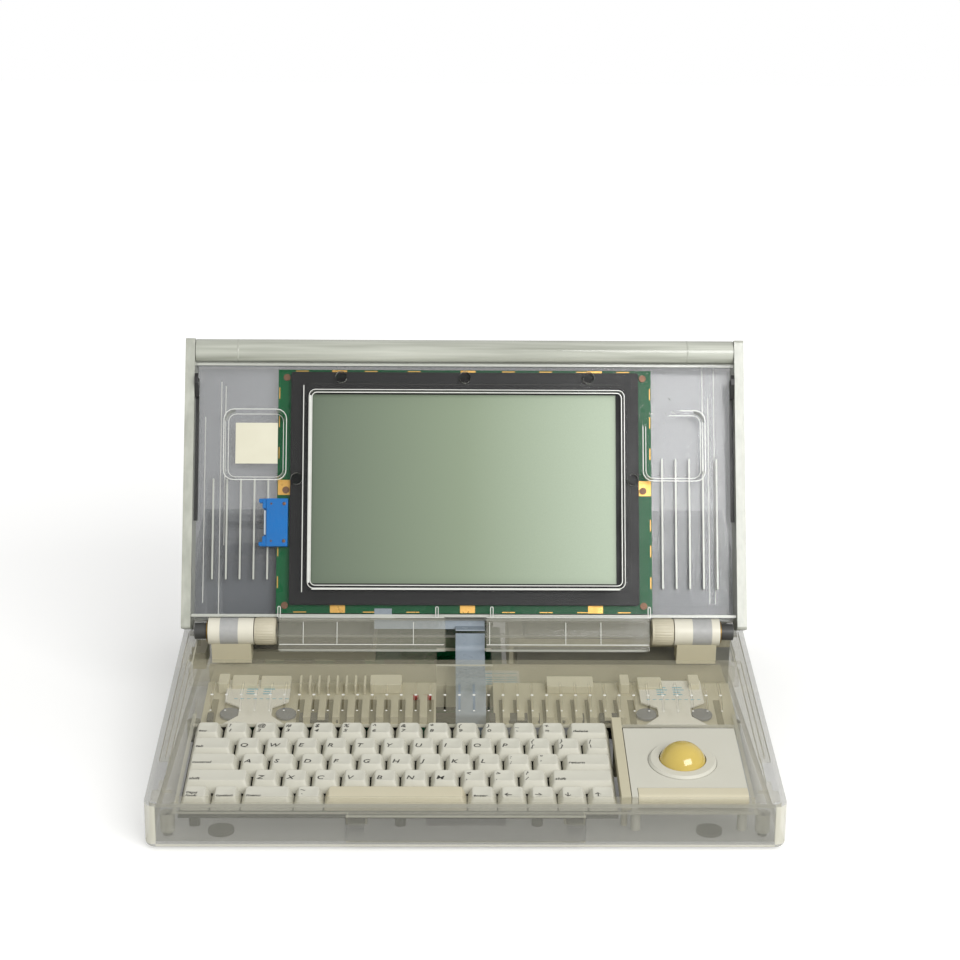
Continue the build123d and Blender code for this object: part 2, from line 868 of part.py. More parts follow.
with BuildPart(key_level) as home_letter_keys:
    with Locations(*key_places(2, range(1, 12))):
        add(unit_cap)
home_letter_keys.part.label = "home_letter_keys"
export_step(home_letter_keys.part, "parts/home_letter_keys.step")

with BuildPart(key_level) as return_key:
    with Locations(*key_places(2, [12])):
        add(key_cap(key_rows[2][12]))
return_key.part.label = "return_key"
export_step(return_key.part, "parts/return_key.step")

with BuildPart(key_level) as left_shift_key:
    with Locations(*key_places(3, [0])):
        add(key_cap(key_rows[3][0]))
left_shift_key.part.label = "left_shift_key"
export_step(left_shift_key.part, "parts/left_shift_key.step")

with BuildPart(key_level) as bottom_letter_keys:
    with Locations(*key_places(3, range(1, 11))):
        add(unit_cap)
bottom_letter_keys.part.label = "bottom_letter_keys"
export_step(bottom_letter_keys.part, "parts/bottom_letter_keys.step")

with BuildPart(key_level) as right_shift_key:
    with Locations(*key_places(3, [11])):
        add(key_cap(key_rows[3][11]))
right_shift_key.part.label = "right_shift_key"
export_step(right_shift_key.part, "parts/right_shift_key.step")

with BuildPart(key_level) as modifier_keys:
    with Locations(*key_places(4, [0, 1, 3, 5])):
        add(unit_cap)
    with Locations(*key_places(4, [2])):
        add(key_cap(key_rows[4][2]))
modifier_keys.part.label = "modifier_keys"
export_step(modifier_keys.part, "parts/modifier_keys.step")

with BuildPart(key_level) as space_bar:
    with Locations(*key_places(4, [4])):
        add(key_cap(key_rows[4][4]))
space_bar.part.label = "space_bar"
export_step(space_bar.part, "parts/space_bar.step")

with BuildPart(key_level) as arrow_keys:
    with Locations(*key_places(4, range(6, 10))):
        add(unit_cap)
arrow_keys.part.label = "arrow_keys"
export_step(arrow_keys.part, "parts/arrow_keys.step")

all_keys = [
    place for row in range(len(key_rows)) for place in key_places(row, range(len(key_rows[row])))
]

with BuildPart() as key_switches:
    with BuildSketch(deck.offset(plate_top)) as bases:
        with Locations(*all_keys):
            Rectangle(switch_size, switch_size)
    extrude(bases.sketch, amount=switch_base)
    with BuildSketch(deck.offset(plate_top)) as necks:
        with Locations(*all_keys):
            Rectangle(*switch_neck)
    extrude(necks.sketch, amount=switch_height)
    with BuildSketch(deck.offset(plate_top + switch_floor)) as stem_slots:
        with Locations(*all_keys):
            Rectangle(stem_size[0] + 2 * stem_gap, stem_size[1] + 2 * stem_gap)
    extrude(stem_slots.sketch, amount=switch_height, mode=Mode.SUBTRACT)
key_switches.part.label = "key_switches"
export_step(key_switches.part, "parts/key_switches.step")

leg_places = [(x, y) for x in (keys_left + 7.9, -40.0, 44.0) for y in (-150.0, -76.0)]
leg_radius = 3.5
plate_margin = 0.8

with BuildPart() as keyboard_frame:
    rod(Plane.XY.offset(floor_top), leg_places, leg_radius, hinge_z)
    split(bisect_by=deck.offset(plate_top - plate_thick), keep=Keep.BOTTOM)
    slab(
        deck.offset(plate_top - plate_thick),
        (keys_left - plate_margin, keys_left + row_width),
        on_deck((keys_back - plate_margin, keys_back + len(key_rows) * key_pitch)),
        plate_thick,
    )
keyboard_frame.part.label = "keyboard_frame"
export_step(keyboard_frame.part, "parts/keyboard_frame.step")

# ---- Filler strip between the keys and the trackball ----
filler_depth = 9.0
filler_middle = (filler_left + filler_right) / 2
filler_legs = [(filler_middle, y) for y in (-150.0, -80.0)]
filler_leg_radius = 2.0

with BuildPart() as filler_strip:
    rod(Plane.XY.offset(floor_top), filler_legs, filler_leg_radius, hinge_z)
    split(bisect_by=deck.offset(module_top - filler_depth), keep=Keep.BOTTOM)
    slab(
        deck.offset(module_top - filler_depth),
        (filler_left, filler_right),
        on_deck((keys_back, module_front)),
        filler_depth,
    )
filler_strip.part.label = "filler_strip"
export_step(filler_strip.part, "parts/filler_strip.step")

# ---- Trackball: housing, ball, twist ring, its roller and the button ----
ball_level = module_top - ball_sink
ball_centre = deck.from_local_coords((ball_x, -ball_forward, ball_level))
module_plane = deck.offset(module_top)
ring_seat = 2.6
ring_seat_gap = 0.1
ring_bevel = 1.4
ring_opening = 14.8
button_left = module_left + 4.1
button_gap = 0.35
button_front = module_front - 0.2
button_round = 4.0
under_button = 1.5
button_depth = module_depth - module_wall - button_travel - under_button
cup_depth = 16.0
cup_rim = 1.0
roller_drop = radians(35.0)
roller_gap = 0.1
roller_reach = ball_radius + roller_radius + roller_gap
roller_forward = ball_forward + roller_reach * cos(roller_drop)
roller_level = ball_level - roller_reach * sin(roller_drop)
roller_half = 8.0
module_leg_radius = 3.0
module_legs = [
    (x, y)
    for x in (module_left + module_leg_radius, module_right - module_leg_radius)
    for y in (-156.0, -96.0)
]

with BuildPart() as trackball_housing:
    rod(Plane.XY.offset(floor_top), module_legs, module_leg_radius, hinge_z)
    split(bisect_by=module_plane.offset(-module_depth), keep=Keep.BOTTOM)
    slab(
        module_plane.offset(-module_depth),
        (module_left, module_right),
        on_deck((module_back, module_front)),
        module_depth,
    )
    slab(
        module_plane.offset(-module_depth),
        (module_left + module_wall, module_right - module_wall),
        on_deck((module_back + module_wall, button_back - module_wall)),
        module_depth - module_wall,
        Mode.SUBTRACT,
    )
    slab(
        module_plane.offset(-module_depth + module_wall),
        (button_left - button_gap, module_right + past),
        on_deck((button_back - button_gap, module_front + past)),
        module_depth,
        Mode.SUBTRACT,
    )
    rod(
        module_plane.offset(-cup_depth),
        [(ball_x, -ball_forward)],
        ring_radius + module_wall,
        cup_depth - cup_rim,
    )
    rod(
        module_plane.offset(-ring_seat),
        [(ball_x, -ball_forward)],
        ring_radius + slide_gap,
        ring_seat + past,
        Mode.SUBTRACT,
    )
    spin(
        (ball_x - roller_half - slide_gap, ball_x + roller_half + slide_gap),
        roller_forward,
        roller_level,
        roller_radius + slide_gap,
        deck,
        Mode.SUBTRACT,
    )
    with Locations(Location(ball_centre)):
        Sphere(ball_radius + ball_gap, mode=Mode.SUBTRACT)
trackball_housing.part.label = "trackball_housing"
export_step(trackball_housing.part, "parts/trackball_housing.step")

with BuildPart() as trackball:
    with Locations(Location(ball_centre)):
        Sphere(ball_radius)
trackball.part.label = "trackball"
export_step(trackball.part, "parts/trackball.step")

with BuildPart() as trackball_roller:
    spin((ball_x - roller_half, ball_x + roller_half), roller_forward, roller_level, roller_radius, deck)
trackball_roller.part.label = "trackball_roller"
export_step(trackball_roller.part, "parts/trackball_roller.step")

with BuildPart() as trackball_ring:
    rod(
        module_plane.offset(-ring_seat + ring_seat_gap),
        [(ball_x, -ball_forward)],
        ring_radius,
        ring_seat - ring_seat_gap + ring_height,
    )
    chamfer(trackball_ring.faces().sort_by(Axis.Z)[-1].edges(), ring_bevel)
    rod(
        module_plane.offset(-ring_seat),
        [(ball_x, -ball_forward)],
        ring_opening,
        ring_seat + ring_height + past,
        Mode.SUBTRACT,
    )
    with Locations(Location(ball_centre)):
        Sphere(ball_radius + ball_gap, mode=Mode.SUBTRACT)
trackball_ring.part.label = "trackball_ring"
export_step(trackball_ring.part, "parts/trackball_ring.step")

with BuildPart() as trackball_button:
    slab(
        module_plane.offset(-button_depth),
        (button_left, module_right),
        on_deck((button_back, button_front)),
        button_depth,
    )
    front_edges = trackball_button.faces().sort_by(Axis.Z)[-1].edges().filter_by(Axis.X)
    fillet(front_edges.sort_by(Axis.Y)[0], button_round)
trackball_button.part.label = "trackball_button"
export_step(trackball_button.part, "parts/trackball_button.step")

# ---- Connector tabs under the deck, white, waisted, one at each side ----
tab_drop = -13.0
tab_level = deck.offset(tab_drop)
tab_thick = 1.0
tab_middles = (-well_half + 38.2, well_half - 37.7)
tab_points = ((38.5, 21.0), (66.0, 21.0), (73.0, 10.8), (84.0, 10.8), (95.0, 20.6))  # f, half width
tab_foot_half = 6.0
tab_foot = (64.0, 67.0)
tab_foot_level = under_level + under_thick

with BuildPart() as connector_tabs:
    for middle in tab_middles:
        slab(
            deck.offset(tab_foot_level),
            (middle - tab_foot_half, middle + tab_foot_half),
            on_deck(tab_foot),
            tab_drop - tab_foot_level,
        )
        with BuildSketch(tab_level) as tab:
            with BuildLine():
                Polyline(
                    *[(middle - half, -forward) for forward, half in tab_points],
                    *[(middle + half, -forward) for forward, half in reversed(tab_points)],
                    close=True,
                )
            make_face()
        extrude(tab.sketch, amount=tab_thick)
connector_tabs.part.label = "connector_tabs"
export_step(connector_tabs.part, "parts/connector_tabs.step")

# ---- Hinge: brackets and clutch barrels on the base, hubs and shafts on the lid ----
bracket_depth = 7.0
bracket_inset = 2.0
cap_radius = 5.5
cap_length = 9.5
shaft_inset = 3.0
shaft_end_gap = 1.0
hub_gap = 0.6
hub_tab_inset = 1.0
hub_tab_thick = 5.0
hub_outer = barrel_inner - hub_gap
hub_inner = hub_outer - hub_length

with BuildPart() as hinge_brackets:
    for side in (-1, 1):
        inner, outer = sorted((side * (barrel_inner + bracket_inset), side * (barrel_outer - bracket_inset)))
        slab(trough_floor, (inner, outer), (-bracket_depth, bracket_depth), trough_sink)
        spin((inner, outer), 0, 0, barrel_radius, mode=Mode.SUBTRACT)
hinge_brackets.part.label = "hinge_brackets"
export_step(hinge_brackets.part, "parts/hinge_brackets.step")

with BuildPart() as hinge_clutches:
    for side in (-1, 1):
        inner, outer = sorted((side * barrel_inner, side * barrel_outer))
        spin((inner, outer), 0, 0, barrel_radius)
        inner, outer = sorted((side * barrel_outer, side * (barrel_outer + cap_length)))
        spin((inner, outer), 0, 0, cap_radius)
        inner, outer = sorted((side * barrel_inner, side * (barrel_outer - shaft_inset + shaft_end_gap)))
        spin((inner, outer), 0, 0, shaft_radius + running_gap, mode=Mode.SUBTRACT)
hinge_clutches.part.label = "hinge_clutches"
export_step(hinge_clutches.part, "parts/hinge_clutches.step")

with BuildPart() as hinge_shafts:
    for side in (-1, 1):
        inner, outer = sorted((side * hub_inner, side * (barrel_outer - shaft_inset)))
        spin((inner, outer), 0, 0, shaft_radius)
hinge_shafts.part.label = "hinge_shafts"
export_step(hinge_shafts.part, "parts/hinge_shafts.step")

with BuildPart() as hinge_hubs:
    for side in (-1, 1):
        inner, outer = sorted((side * hub_inner, side * hub_outer))
        spin((inner, outer), 0, 0, hub_radius)
        slab(
            lid.offset(-hub_tab_thick),
            (inner + hub_tab_inset, outer - hub_tab_inset),
            (0, bezel_low),
            hub_tab_thick,
        )
        spin((inner, outer), 0, 0, shaft_radius, mode=Mode.SUBTRACT)
hinge_hubs.part.label = "hinge_hubs"
export_step(hinge_hubs.part, "parts/hinge_hubs.step")

# ---- Lid shell: the clear back of the screen, with its side rails, ribs and bosses ----
rib_height = 6.0
rib_thick = 1.2
rib_spacing = 9.5
rib_count = 5
rib_inset = 12.0
rib_rows = (  # first rib's X, low and high u
    (-lid_inner + rib_inset, 36.0, 106.0),
    (lid_inner - rib_inset - (rib_count - 1) * rib_spacing, 30.0, 121.0),
)
boss_x = board_half - 6.0
lid_bosses = [(x, u) for x in (-boss_x, boss_x) for u in (18.0, 98.0, 177.0)]
lid_boss_radius = 3.5
lid_screw_radius = 1.2
lid_screw_length = 6.0
lid_screw_head = 2.4
lid_screw_head_height = 1.2
lid_low = 8.0
rail_bevel = 6.0
rail_round = 2.0
end_wall = 2.0
cable_end = (lid_ribbon_x[0], lid_ribbon_x[0] + 12.0)
cable_window = (cable_end[0] - 2.0, cable_end[1] + 2.0)
cable_window_back = board_front - 0.5
cable_window_depth = 2.5
bar_pin = 2.5
bar_pin_length = 3.2
bar_pin_gap = 0.05

with BuildPart() as lid_shell:
    slab(lid.offset(-lid_back), (-lid_inner, lid_inner), (lid_low, lid_length), lid_wall)
    for side in (-1, 1):
        inner, outer = sorted((side * lid_inner, side * half_width))
        profile(
            lid_side,
            (
                (rail_front, rail_foot),
                (rail_front, lid_length),
                (-lid_back, lid_length),
                (-lid_back, lid_low),
                (-lid_back + rail_bevel, rail_foot),
            ),
            (inner, outer),
            corners=rail_round,
        )
    inside = lid.offset(-lid_back + lid_wall)
    inside_depth = lid_back - lid_wall + bezel_back
    slab(inside, (-lid_inner, lid_inner), (bezel_low, bezel_low + end_wall), inside_depth)
    slab(inside, (-lid_inner, lid_inner), (bezel_high - end_wall, bezel_high), inside_depth)
    rod(inside, lid_bosses, lid_boss_radius, lid_back - lid_wall + board_back)
    rod(
        lid.offset(board_front - lid_screw_length),
        lid_bosses,
        lid_screw_radius,
        lid_screw_length,
        Mode.SUBTRACT,
    )
    for place, low, high in rib_rows:
        for rib in range(rib_count):
            rib_x = place + rib * rib_spacing
            slab(inside, (rib_x, rib_x + rib_thick), (low, high), rib_height)
    slab(
        lid.offset(cable_window_back),
        cable_window,
        (bezel_low - past, bezel_low + end_wall + past),
        cable_window_depth,
        Mode.SUBTRACT,
    )
    for side in (-1, 1):
        inner, outer = sorted((side * lid_inner, side * (lid_inner + bar_pin_length + past)))
        spin((inner, outer), -bar_u, bar_v, bar_pin + bar_pin_gap, lid, Mode.SUBTRACT)
lid_shell.part.label = "lid_shell"
export_step(lid_shell.part, "parts/lid_shell.step")

# ---- Lid bezel: the clear front plate, its window, two pockets and the hollow for the ball ----
pocket_low = 105.5
pocket_high = 151.7
pocket_inset = 22.0
pocket_gap = 4.0
pocket_left_x = (-lid_inner + pocket_inset, -lcd_half - pocket_gap)
pocket_right_x = (lcd_half + pocket_gap, lid_inner - pocket_inset)
pocket_floor = -4.0
pocket_wall = 1.3
pocket_corner = 6.0
window_x = (-glass_width / 2 - 1.2, glass_width / 2 + 3.8)
window_u = (30.4, 166.0)
spacer_x = 86.0
spacer_top = 176.5
spacer_side = 105.3
side_spacer_x = lcd_half - 4.5
spacer_places = [(x, spacer_top) for x in (-spacer_x, 0.0, spacer_x)]
spacer_places += [(x, spacer_side) for x in (-side_spacer_x, side_spacer_x)]
window_corner = 2.0
rim_corner = 4.0
spacer_radius = 4.0
hollow_wall = 1.3
hollow_gap = 0.9
bezel_gap = 0.1
hook_slot = 3.2
hook_slot_gap = 1.0
closed_ball = lid.from_local_coords((ball_x, ball_forward, bezel_front + lid_gap - ball_level))

with BuildPart() as ball_hollow:
    with Locations(Location(closed_ball)):
        Sphere(ball_radius + hollow_gap + hollow_wall)
    split(bisect_by=lid.offset(bezel_back + bezel_plate / 4), keep=Keep.BOTTOM)

with BuildPart() as lid_bezel:
    slab(
        lid.offset(bezel_back),
        (-lid_inner + bezel_gap, lid_inner - bezel_gap),
        (bezel_low, bezel_high),
        bezel_plate,
    )
    slab(
        lid.offset(bezel_front),
        (window_x[0] - window_rim, window_x[1] + window_rim),
        (window_u[0] - window_rim, window_u[1] + window_rim),
        window_rim_height,
        corner=rim_corner,
    )
    for pocket_x in (pocket_left_x, pocket_right_x):
        slab(
            lid.offset(pocket_floor - pocket_wall),
            (pocket_x[0] - pocket_wall, pocket_x[1] + pocket_wall),
            (pocket_low - pocket_wall, pocket_high + pocket_wall),
            bezel_back - pocket_floor + pocket_wall,
            corner=pocket_corner + pocket_wall,
        )
    add(ball_hollow.part)
    rod(lid.offset(lcd_frame_front), spacer_places, spacer_radius, bezel_back - lcd_frame_front)
    slab(
        lid.offset(bezel_back),
        window_x,
        window_u,
        bezel_plate + window_rim_height,
        Mode.SUBTRACT,
        window_corner,
    )
    for pocket_x in (pocket_left_x, pocket_right_x):
        slab(
            lid.offset(pocket_floor),
            pocket_x,
            (pocket_low, pocket_high),
            bezel_front - pocket_floor,
            Mode.SUBTRACT,
            pocket_corner,
        )
    with Locations(Location(closed_ball)):
        Sphere(ball_radius + hollow_gap, mode=Mode.SUBTRACT)
    for side in (-1, 1):
        inner, outer = sorted((side * (lid_inner - hook_slot), side * lid_inner))
        slab(
            lid.offset(bezel_back),
            (inner, outer),
            (catch_from + hook_slot_gap, catch_to + latch_throw + hook_slot_gap / 2),
            bezel_plate,
            Mode.SUBTRACT,
        )
lid_bezel.part.label = "lid_bezel"
export_step(lid_bezel.part, "parts/lid_bezel.step")

# ---- Display: metal frame, glass, circuit board with its chips, and the ribbon socket ----
glass_x = (glass_centre - glass_width / 2, glass_centre + glass_width / 2)
glass_u = (glass_low, glass_low + glass_height)
frame_x = (-lcd_half, lcd_half)
frame_corner = 1.5
glass_lap = 5.0
glass_gap = 0.2
board_middle = (board_low + board_high) / 2
driver_columns = 7
driver_rows = 3
driver_pitch = (2 * (board_half - 40.0) / (driver_columns - 1), 44.0)
driver_size = (14.0, 20.0)
driver_height = 2.2
connector_x = (-board_half - 12.0, -lcd_half - 1.2)
connector_u = (58.3, 91.5)
connector_height = 6.5
label_x = (pocket_left_x[0] + 6.0, pocket_left_x[1] - 5.0)
label_u = (116.0, 144.5)
label_thick = 0.3

with BuildPart() as lcd_frame:
    slab(
        lid.offset(board_front),
        frame_x,
        (lcd_frame_low, lcd_frame_high),
        lcd_frame_front - board_front,
        corner=frame_corner,
    )
    slab(lid.offset(board_front), glass_x, glass_u, lcd_frame_front - board_front, Mode.SUBTRACT)
    slab(
        lid.offset(board_front),
        (glass_x[0] - glass_lap, glass_x[1] + glass_lap),
        (glass_u[0] - glass_lap, glass_u[1] + glass_lap),
        lcd_frame_front - lcd_lip - board_front,
        Mode.SUBTRACT,
    )
lcd_frame.part.label = "lcd_frame"
export_step(lcd_frame.part, "parts/lcd_frame.step")

with BuildPart() as lcd_panel:
    slab(
        lid.offset(board_front),
        (glass_x[0] - glass_lap + glass_gap, glass_x[1] + glass_lap - glass_gap),
        (glass_u[0] - glass_lap + glass_gap, glass_u[1] + glass_lap - glass_gap),
        lcd_frame_front - lcd_lip - board_front,
    )
lcd_panel.part.label = "lcd_panel"
export_step(lcd_panel.part, "parts/lcd_panel.step")

with BuildPart() as lcd_board:
    slab(
        lid.offset(board_back),
        (-board_half, board_half),
        (board_low, board_high),
        board_thick,
    )
    with BuildSketch(lid.offset(board_back - driver_height)) as drivers:
        with Locations((0, board_middle)):
            with GridLocations(driver_pitch[0], driver_pitch[1], driver_columns, driver_rows):
                Rectangle(*driver_size)
    extrude(drivers.sketch, amount=driver_height)
    rod(lid.offset(board_back), lid_bosses, lid_screw_radius, board_thick, Mode.SUBTRACT)
lcd_board.part.label = "lcd_board"
export_step(lcd_board.part, "parts/lcd_board.step")

with BuildPart() as lid_screws:
    rod(lid.offset(board_front), lid_bosses, lid_screw_head, lid_screw_head_height)
    rod(
        lid.offset(board_front - lid_screw_length),
        lid_bosses,
        lid_screw_radius,
        lid_screw_length,
    )
lid_screws.part.label = "lid_screws"
export_step(lid_screws.part, "parts/lid_screws.step")

with BuildPart() as lcd_connector:
    slab(lid.offset(board_front), connector_x, connector_u, connector_height)
lcd_connector.part.label = "lcd_connector"
export_step(lcd_connector.part, "parts/lcd_connector.step")

with BuildPart() as lid_label:
    slab(lid.offset(pocket_floor), label_x, label_u, label_thick)
lid_label.part.label = "lid_label"
export_step(lid_label.part, "parts/lid_label.step")

# ---- Clear covers over the cable and the inner ends of the hinge ----
cover_front = 8.0
cover_back = -10.0
cover_low = -13.5
cover_wall = 1.5
cover_end = 2.2
cover_left_x = (-hub_inner + cover_end, -13.0)
cover_right_x = (15.0, hub_inner - cover_end)

with BuildPart() as clutch_covers:
    for cover_x in (cover_left_x, cover_right_x):
        profile(
            lid_side,
            (
                (cover_back, bezel_low),
                (cover_front, bezel_low),
                (cover_front, cover_low),
                (cover_back, cover_low),
                (cover_back, cover_low + cover_wall),
                (cover_front - cover_wall, cover_low + cover_wall),
                (cover_front - cover_wall, bezel_low - cover_wall),
                (cover_back, bezel_low - cover_wall),
            ),
            cover_x,
        )
    slab(
        lid.offset(cable_window_back),
        cable_window,
        (bezel_low - cover_wall - past, bezel_low + past),
        cable_window_depth,
        Mode.SUBTRACT,
    )
clutch_covers.part.label = "clutch_covers"
export_step(clutch_covers.part, "parts/clutch_covers.step")

# ---- Display cable: a flat ribbon, in two lengths that meet on the hinge axis ----
ribbon_run = (2.0, 7.8)
ribbon_bend = (
    (board_front, 2.0),
    (board_front, 4.0),
    (board_front + ribbon, 4.0),
    (-0.7, 1.2),
    (-0.7, 0.5),
)
flex_bend = 4.0
flex_path = (
    (0.3, 2.6),
    (2.0, -9.0),
    (30.0, -9.0),
    (46.0, -6.0),
    (64.0, -6.0),
    (76.0, -16.0),
    (76.0, -36.0),
)

with BuildPart() as lid_flex_cable:
    slab(lid.offset(board_front), (lid_ribbon_x[0], ribbon_x[1]), ribbon_run, ribbon)
    slab(lid.offset(board_front), cable_end, (ribbon_run[0], board_low + 3.4), ribbon)
    profile(lid_side, ribbon_bend, ribbon_x)
lid_flex_cable.part.label = "lid_flex_cable"
export_step(lid_flex_cable.part, "parts/lid_flex_cable.step")

with BuildPart() as base_flex_cable:
    with BuildSketch(deck_side.offset(-ribbon_x[1])) as flex:
        with BuildLine():
            FilletPolyline(*flex_path, radius=flex_bend)
        trace(line_width=ribbon)
    extrude(flex.sketch, amount=ribbon_x[1] - ribbon_x[0])
base_flex_cable.part.label = "base_flex_cable"
export_step(base_flex_cable.part, "parts/base_flex_cable.step")

# ---- Latch: the round bar along the lid's edge and the hooked strips that it pulls ----
bar_wall = 1.8
bar_end = 4.0
bar_gap = 0.4
hook_front = 8.7
hook_toe_low = 6.6
hook_thick = 2.4
hook_inset = 0.3
hook_length = 16.0
toe_length = 3.0
toe_nose = 4.0
strip_back = -4.0
strip_front = -1.4
toe_end = catch_to - 1.0

with BuildPart() as latch_bar:
    spin((-lid_inner + bar_gap, lid_inner - bar_gap), -bar_u, bar_v, bar_radius, lid)
    spin(
        (-lid_inner + bar_end, lid_inner - bar_end),
        -bar_u,
        bar_v,
        bar_radius - bar_wall,
        lid,
        Mode.SUBTRACT,
    )
    for side in (-1, 1):
        inner, outer = sorted((side * (lid_inner - bar_gap), side * (lid_inner + bar_pin_length)))
        spin((inner, outer), -bar_u, bar_v, bar_pin, lid)
latch_bar.part.label = "latch_bar"
export_step(latch_bar.part, "parts/latch_bar.step")

with BuildPart() as latch_slides:
    for side in (-1, 1):
        near = lid_inner - hook_inset
        inner, outer = sorted((side * (near - hook_thick), side * near))
        slab(
            lid.offset(strip_back),
            (inner, outer),
            (latch_low, toe_end - toe_length),
            strip_front - strip_back,
        )
        profile(
            lid_side,
            (
                (strip_back, toe_end - hook_length),
                (strip_back, toe_end - toe_length),
                (hook_toe_low, toe_end - toe_length),
                (hook_toe_low, toe_end),
                (hook_front, toe_end - toe_length),
                (hook_front, toe_end - toe_length - toe_nose),
                (bezel_front, toe_end - hook_length),
            ),
            (inner, outer),
        )
latch_slides.part.label = "latch_slides"
export_step(latch_slides.part, "parts/latch_slides.step")

# ---- Handle: a bar on two arms that slide out of the base's front edge ----
guide_wall = 1.6
guide_back = 96.0
guide_front = 150.0
arm_inner = handle_half - handle_arm
arm_lap = 1.0
grip_corner = 1.0
finger_half = 24.0
finger_depth = 6.0
finger_height = 5.0

with BuildPart() as handle:
    slab(
        front.offset(-handle_grip_depth),
        (-handle_half, handle_half),
        (handle_low, handle_low + handle_grip_height),
        handle_grip_depth,
        corner=grip_corner,
    )
    for side in (-1, 1):
        inner, outer = sorted((side * arm_inner, side * handle_half))
        slab(
            front.offset(-handle_reach),
            (inner, outer),
            (handle_low, handle_low + handle_arm_height),
            handle_reach - arm_lap,
        )
    slab(
        front.offset(-finger_depth),
        (-finger_half, finger_half),
        (handle_low + handle_grip_height - finger_height, handle_low + handle_grip_height),
        finger_depth,
        Mode.SUBTRACT,
    )
handle.part.label = "handle"
export_step(handle.part, "parts/handle.step")

with BuildPart() as handle_guides:
    for side in (-1, 1):
        inner, outer = sorted((side * (arm_inner - guide_wall), side * (handle_half + guide_wall)))
        slab(
            Plane.XY.offset(floor_top),
            (inner, outer),
            (-guide_front, -guide_back),
            handle_low + handle_arm_height + guide_wall - floor_top,
        )
        inner, outer = sorted((side * (arm_inner - slide_gap), side * (handle_half + slide_gap)))
        slab(
            Plane.XY.offset(handle_low - slide_gap),
            (inner, outer),
            (-guide_front, -guide_back),
            handle_arm_height + 2 * slide_gap,
            Mode.SUBTRACT,
        )
handle_guides.part.label = "handle_guides"
export_step(handle_guides.part, "parts/handle_guides.step")

# ---- Restart and interrupt buttons in a small carrier at the left wall ----
carrier_depth = 9.0
carrier_margin = 6.0
small_button_length = 5.9
small_button_sink = 0.2
small_button_gap = 0.15
carrier_hole = 4.5

with BuildPart() as programmer_switch:
    slab(
        left.offset(wall),
        (small_button_y[0] - carrier_margin, small_button_y[1] + carrier_margin),
        (small_button_z - carrier_margin, small_button_z + carrier_margin),
        carrier_depth,
    )
    rod(
        left.offset(wall),
        [(y, small_button_z) for y in small_button_y],
        small_button_radius + small_button_gap,
        carrier_hole,
        Mode.SUBTRACT,
    )
programmer_switch.part.label = "programmer_switch"
export_step(programmer_switch.part, "parts/programmer_switch.step")

with BuildPart() as reset_button:
    rod(
        left.offset(small_button_sink),
        [(small_button_y[0], small_button_z)],
        small_button_radius,
        small_button_length,
    )
reset_button.part.label = "reset_button"
export_step(reset_button.part, "parts/reset_button.step")

with BuildPart() as interrupt_button:
    rod(
        left.offset(small_button_sink),
        [(small_button_y[1], small_button_z)],
        small_button_radius,
        small_button_length,
    )
interrupt_button.part.label = "interrupt_button"
export_step(interrupt_button.part, "parts/interrupt_button.step")

# ---- Feet and the screws that hold the case together ----
foot_places = [(x, y) for x in (-150.0, 150.0) for y in (-150.0, 150.0)]
head_gap = 0.2

with BuildPart() as feet:
    rod(Plane.XY, foot_places, foot_radius, foot_height)
feet.part.label = "feet"
export_step(feet.part, "parts/feet.step")

with BuildPart() as case_screws:
    rod(
        Plane.XY.offset(foot_height + head_gap),
        boss_places,
        head_radius - head_gap,
        head_height - head_gap,
    )
    rod(
        Plane.XY.offset(foot_height + head_height),
        boss_places,
        screw_radius,
        screw_length - head_height,
    )
case_screws.part.label = "case_screws"
export_step(case_screws.part, "parts/case_screws.step")
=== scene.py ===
import math

import bmesh
import bpy
from mathutils import Matrix, Vector


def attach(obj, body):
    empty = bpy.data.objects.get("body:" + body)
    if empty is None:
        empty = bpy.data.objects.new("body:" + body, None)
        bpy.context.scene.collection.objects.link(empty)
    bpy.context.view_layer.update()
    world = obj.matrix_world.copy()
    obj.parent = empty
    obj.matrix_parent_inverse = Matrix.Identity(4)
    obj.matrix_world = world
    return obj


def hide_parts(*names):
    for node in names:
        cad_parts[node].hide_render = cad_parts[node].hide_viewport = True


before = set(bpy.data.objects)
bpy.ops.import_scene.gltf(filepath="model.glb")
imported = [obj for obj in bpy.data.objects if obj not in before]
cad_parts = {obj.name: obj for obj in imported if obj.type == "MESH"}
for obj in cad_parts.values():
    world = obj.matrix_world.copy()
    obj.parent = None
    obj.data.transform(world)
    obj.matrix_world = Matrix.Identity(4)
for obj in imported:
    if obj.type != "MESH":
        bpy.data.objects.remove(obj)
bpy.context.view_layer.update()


# ---- Key caps ----
# The caps are hollow double-shot mouldings of warm off-white plastic with a fine
# matt texture, dished across the top, each pushed on to the stem of its switch.


def on_deck(x, f, w):
    """The point, in metres, at x, f forwards down the deck's slope and w above it, in mm."""
    slope = math.radians(8.1)
    y = 24 + (3.94 - w) * math.sin(slope) - f * math.cos(slope)
    z = 64.3 - (3.94 - w) * math.cos(slope) - f * math.sin(slope)
    return Vector((x, y, z)) / 1000


def linear(text):
    """The linear colour of an sRGB hex colour."""
    parts = [int(text[i : i + 2], 16) / 255 for i in (1, 3, 5)]
    return [c / 12.92 if c <= 0.04045 else ((c + 0.055) / 1.055) ** 2.4 for c in parts] + [1]


def add_node(tree, kind, inputs=None, **settings):
    """A new shader node: an input is linked where its value is a socket, or else set."""
    node = tree.nodes.new(kind)
    for key, value in settings.items():
        setattr(node, key, value)
    for key, value in (inputs or {}).items():
        if isinstance(value, bpy.types.NodeSocket):
            tree.links.new(value, node.inputs[key])
        else:
            node.inputs[key].default_value = value
    return node


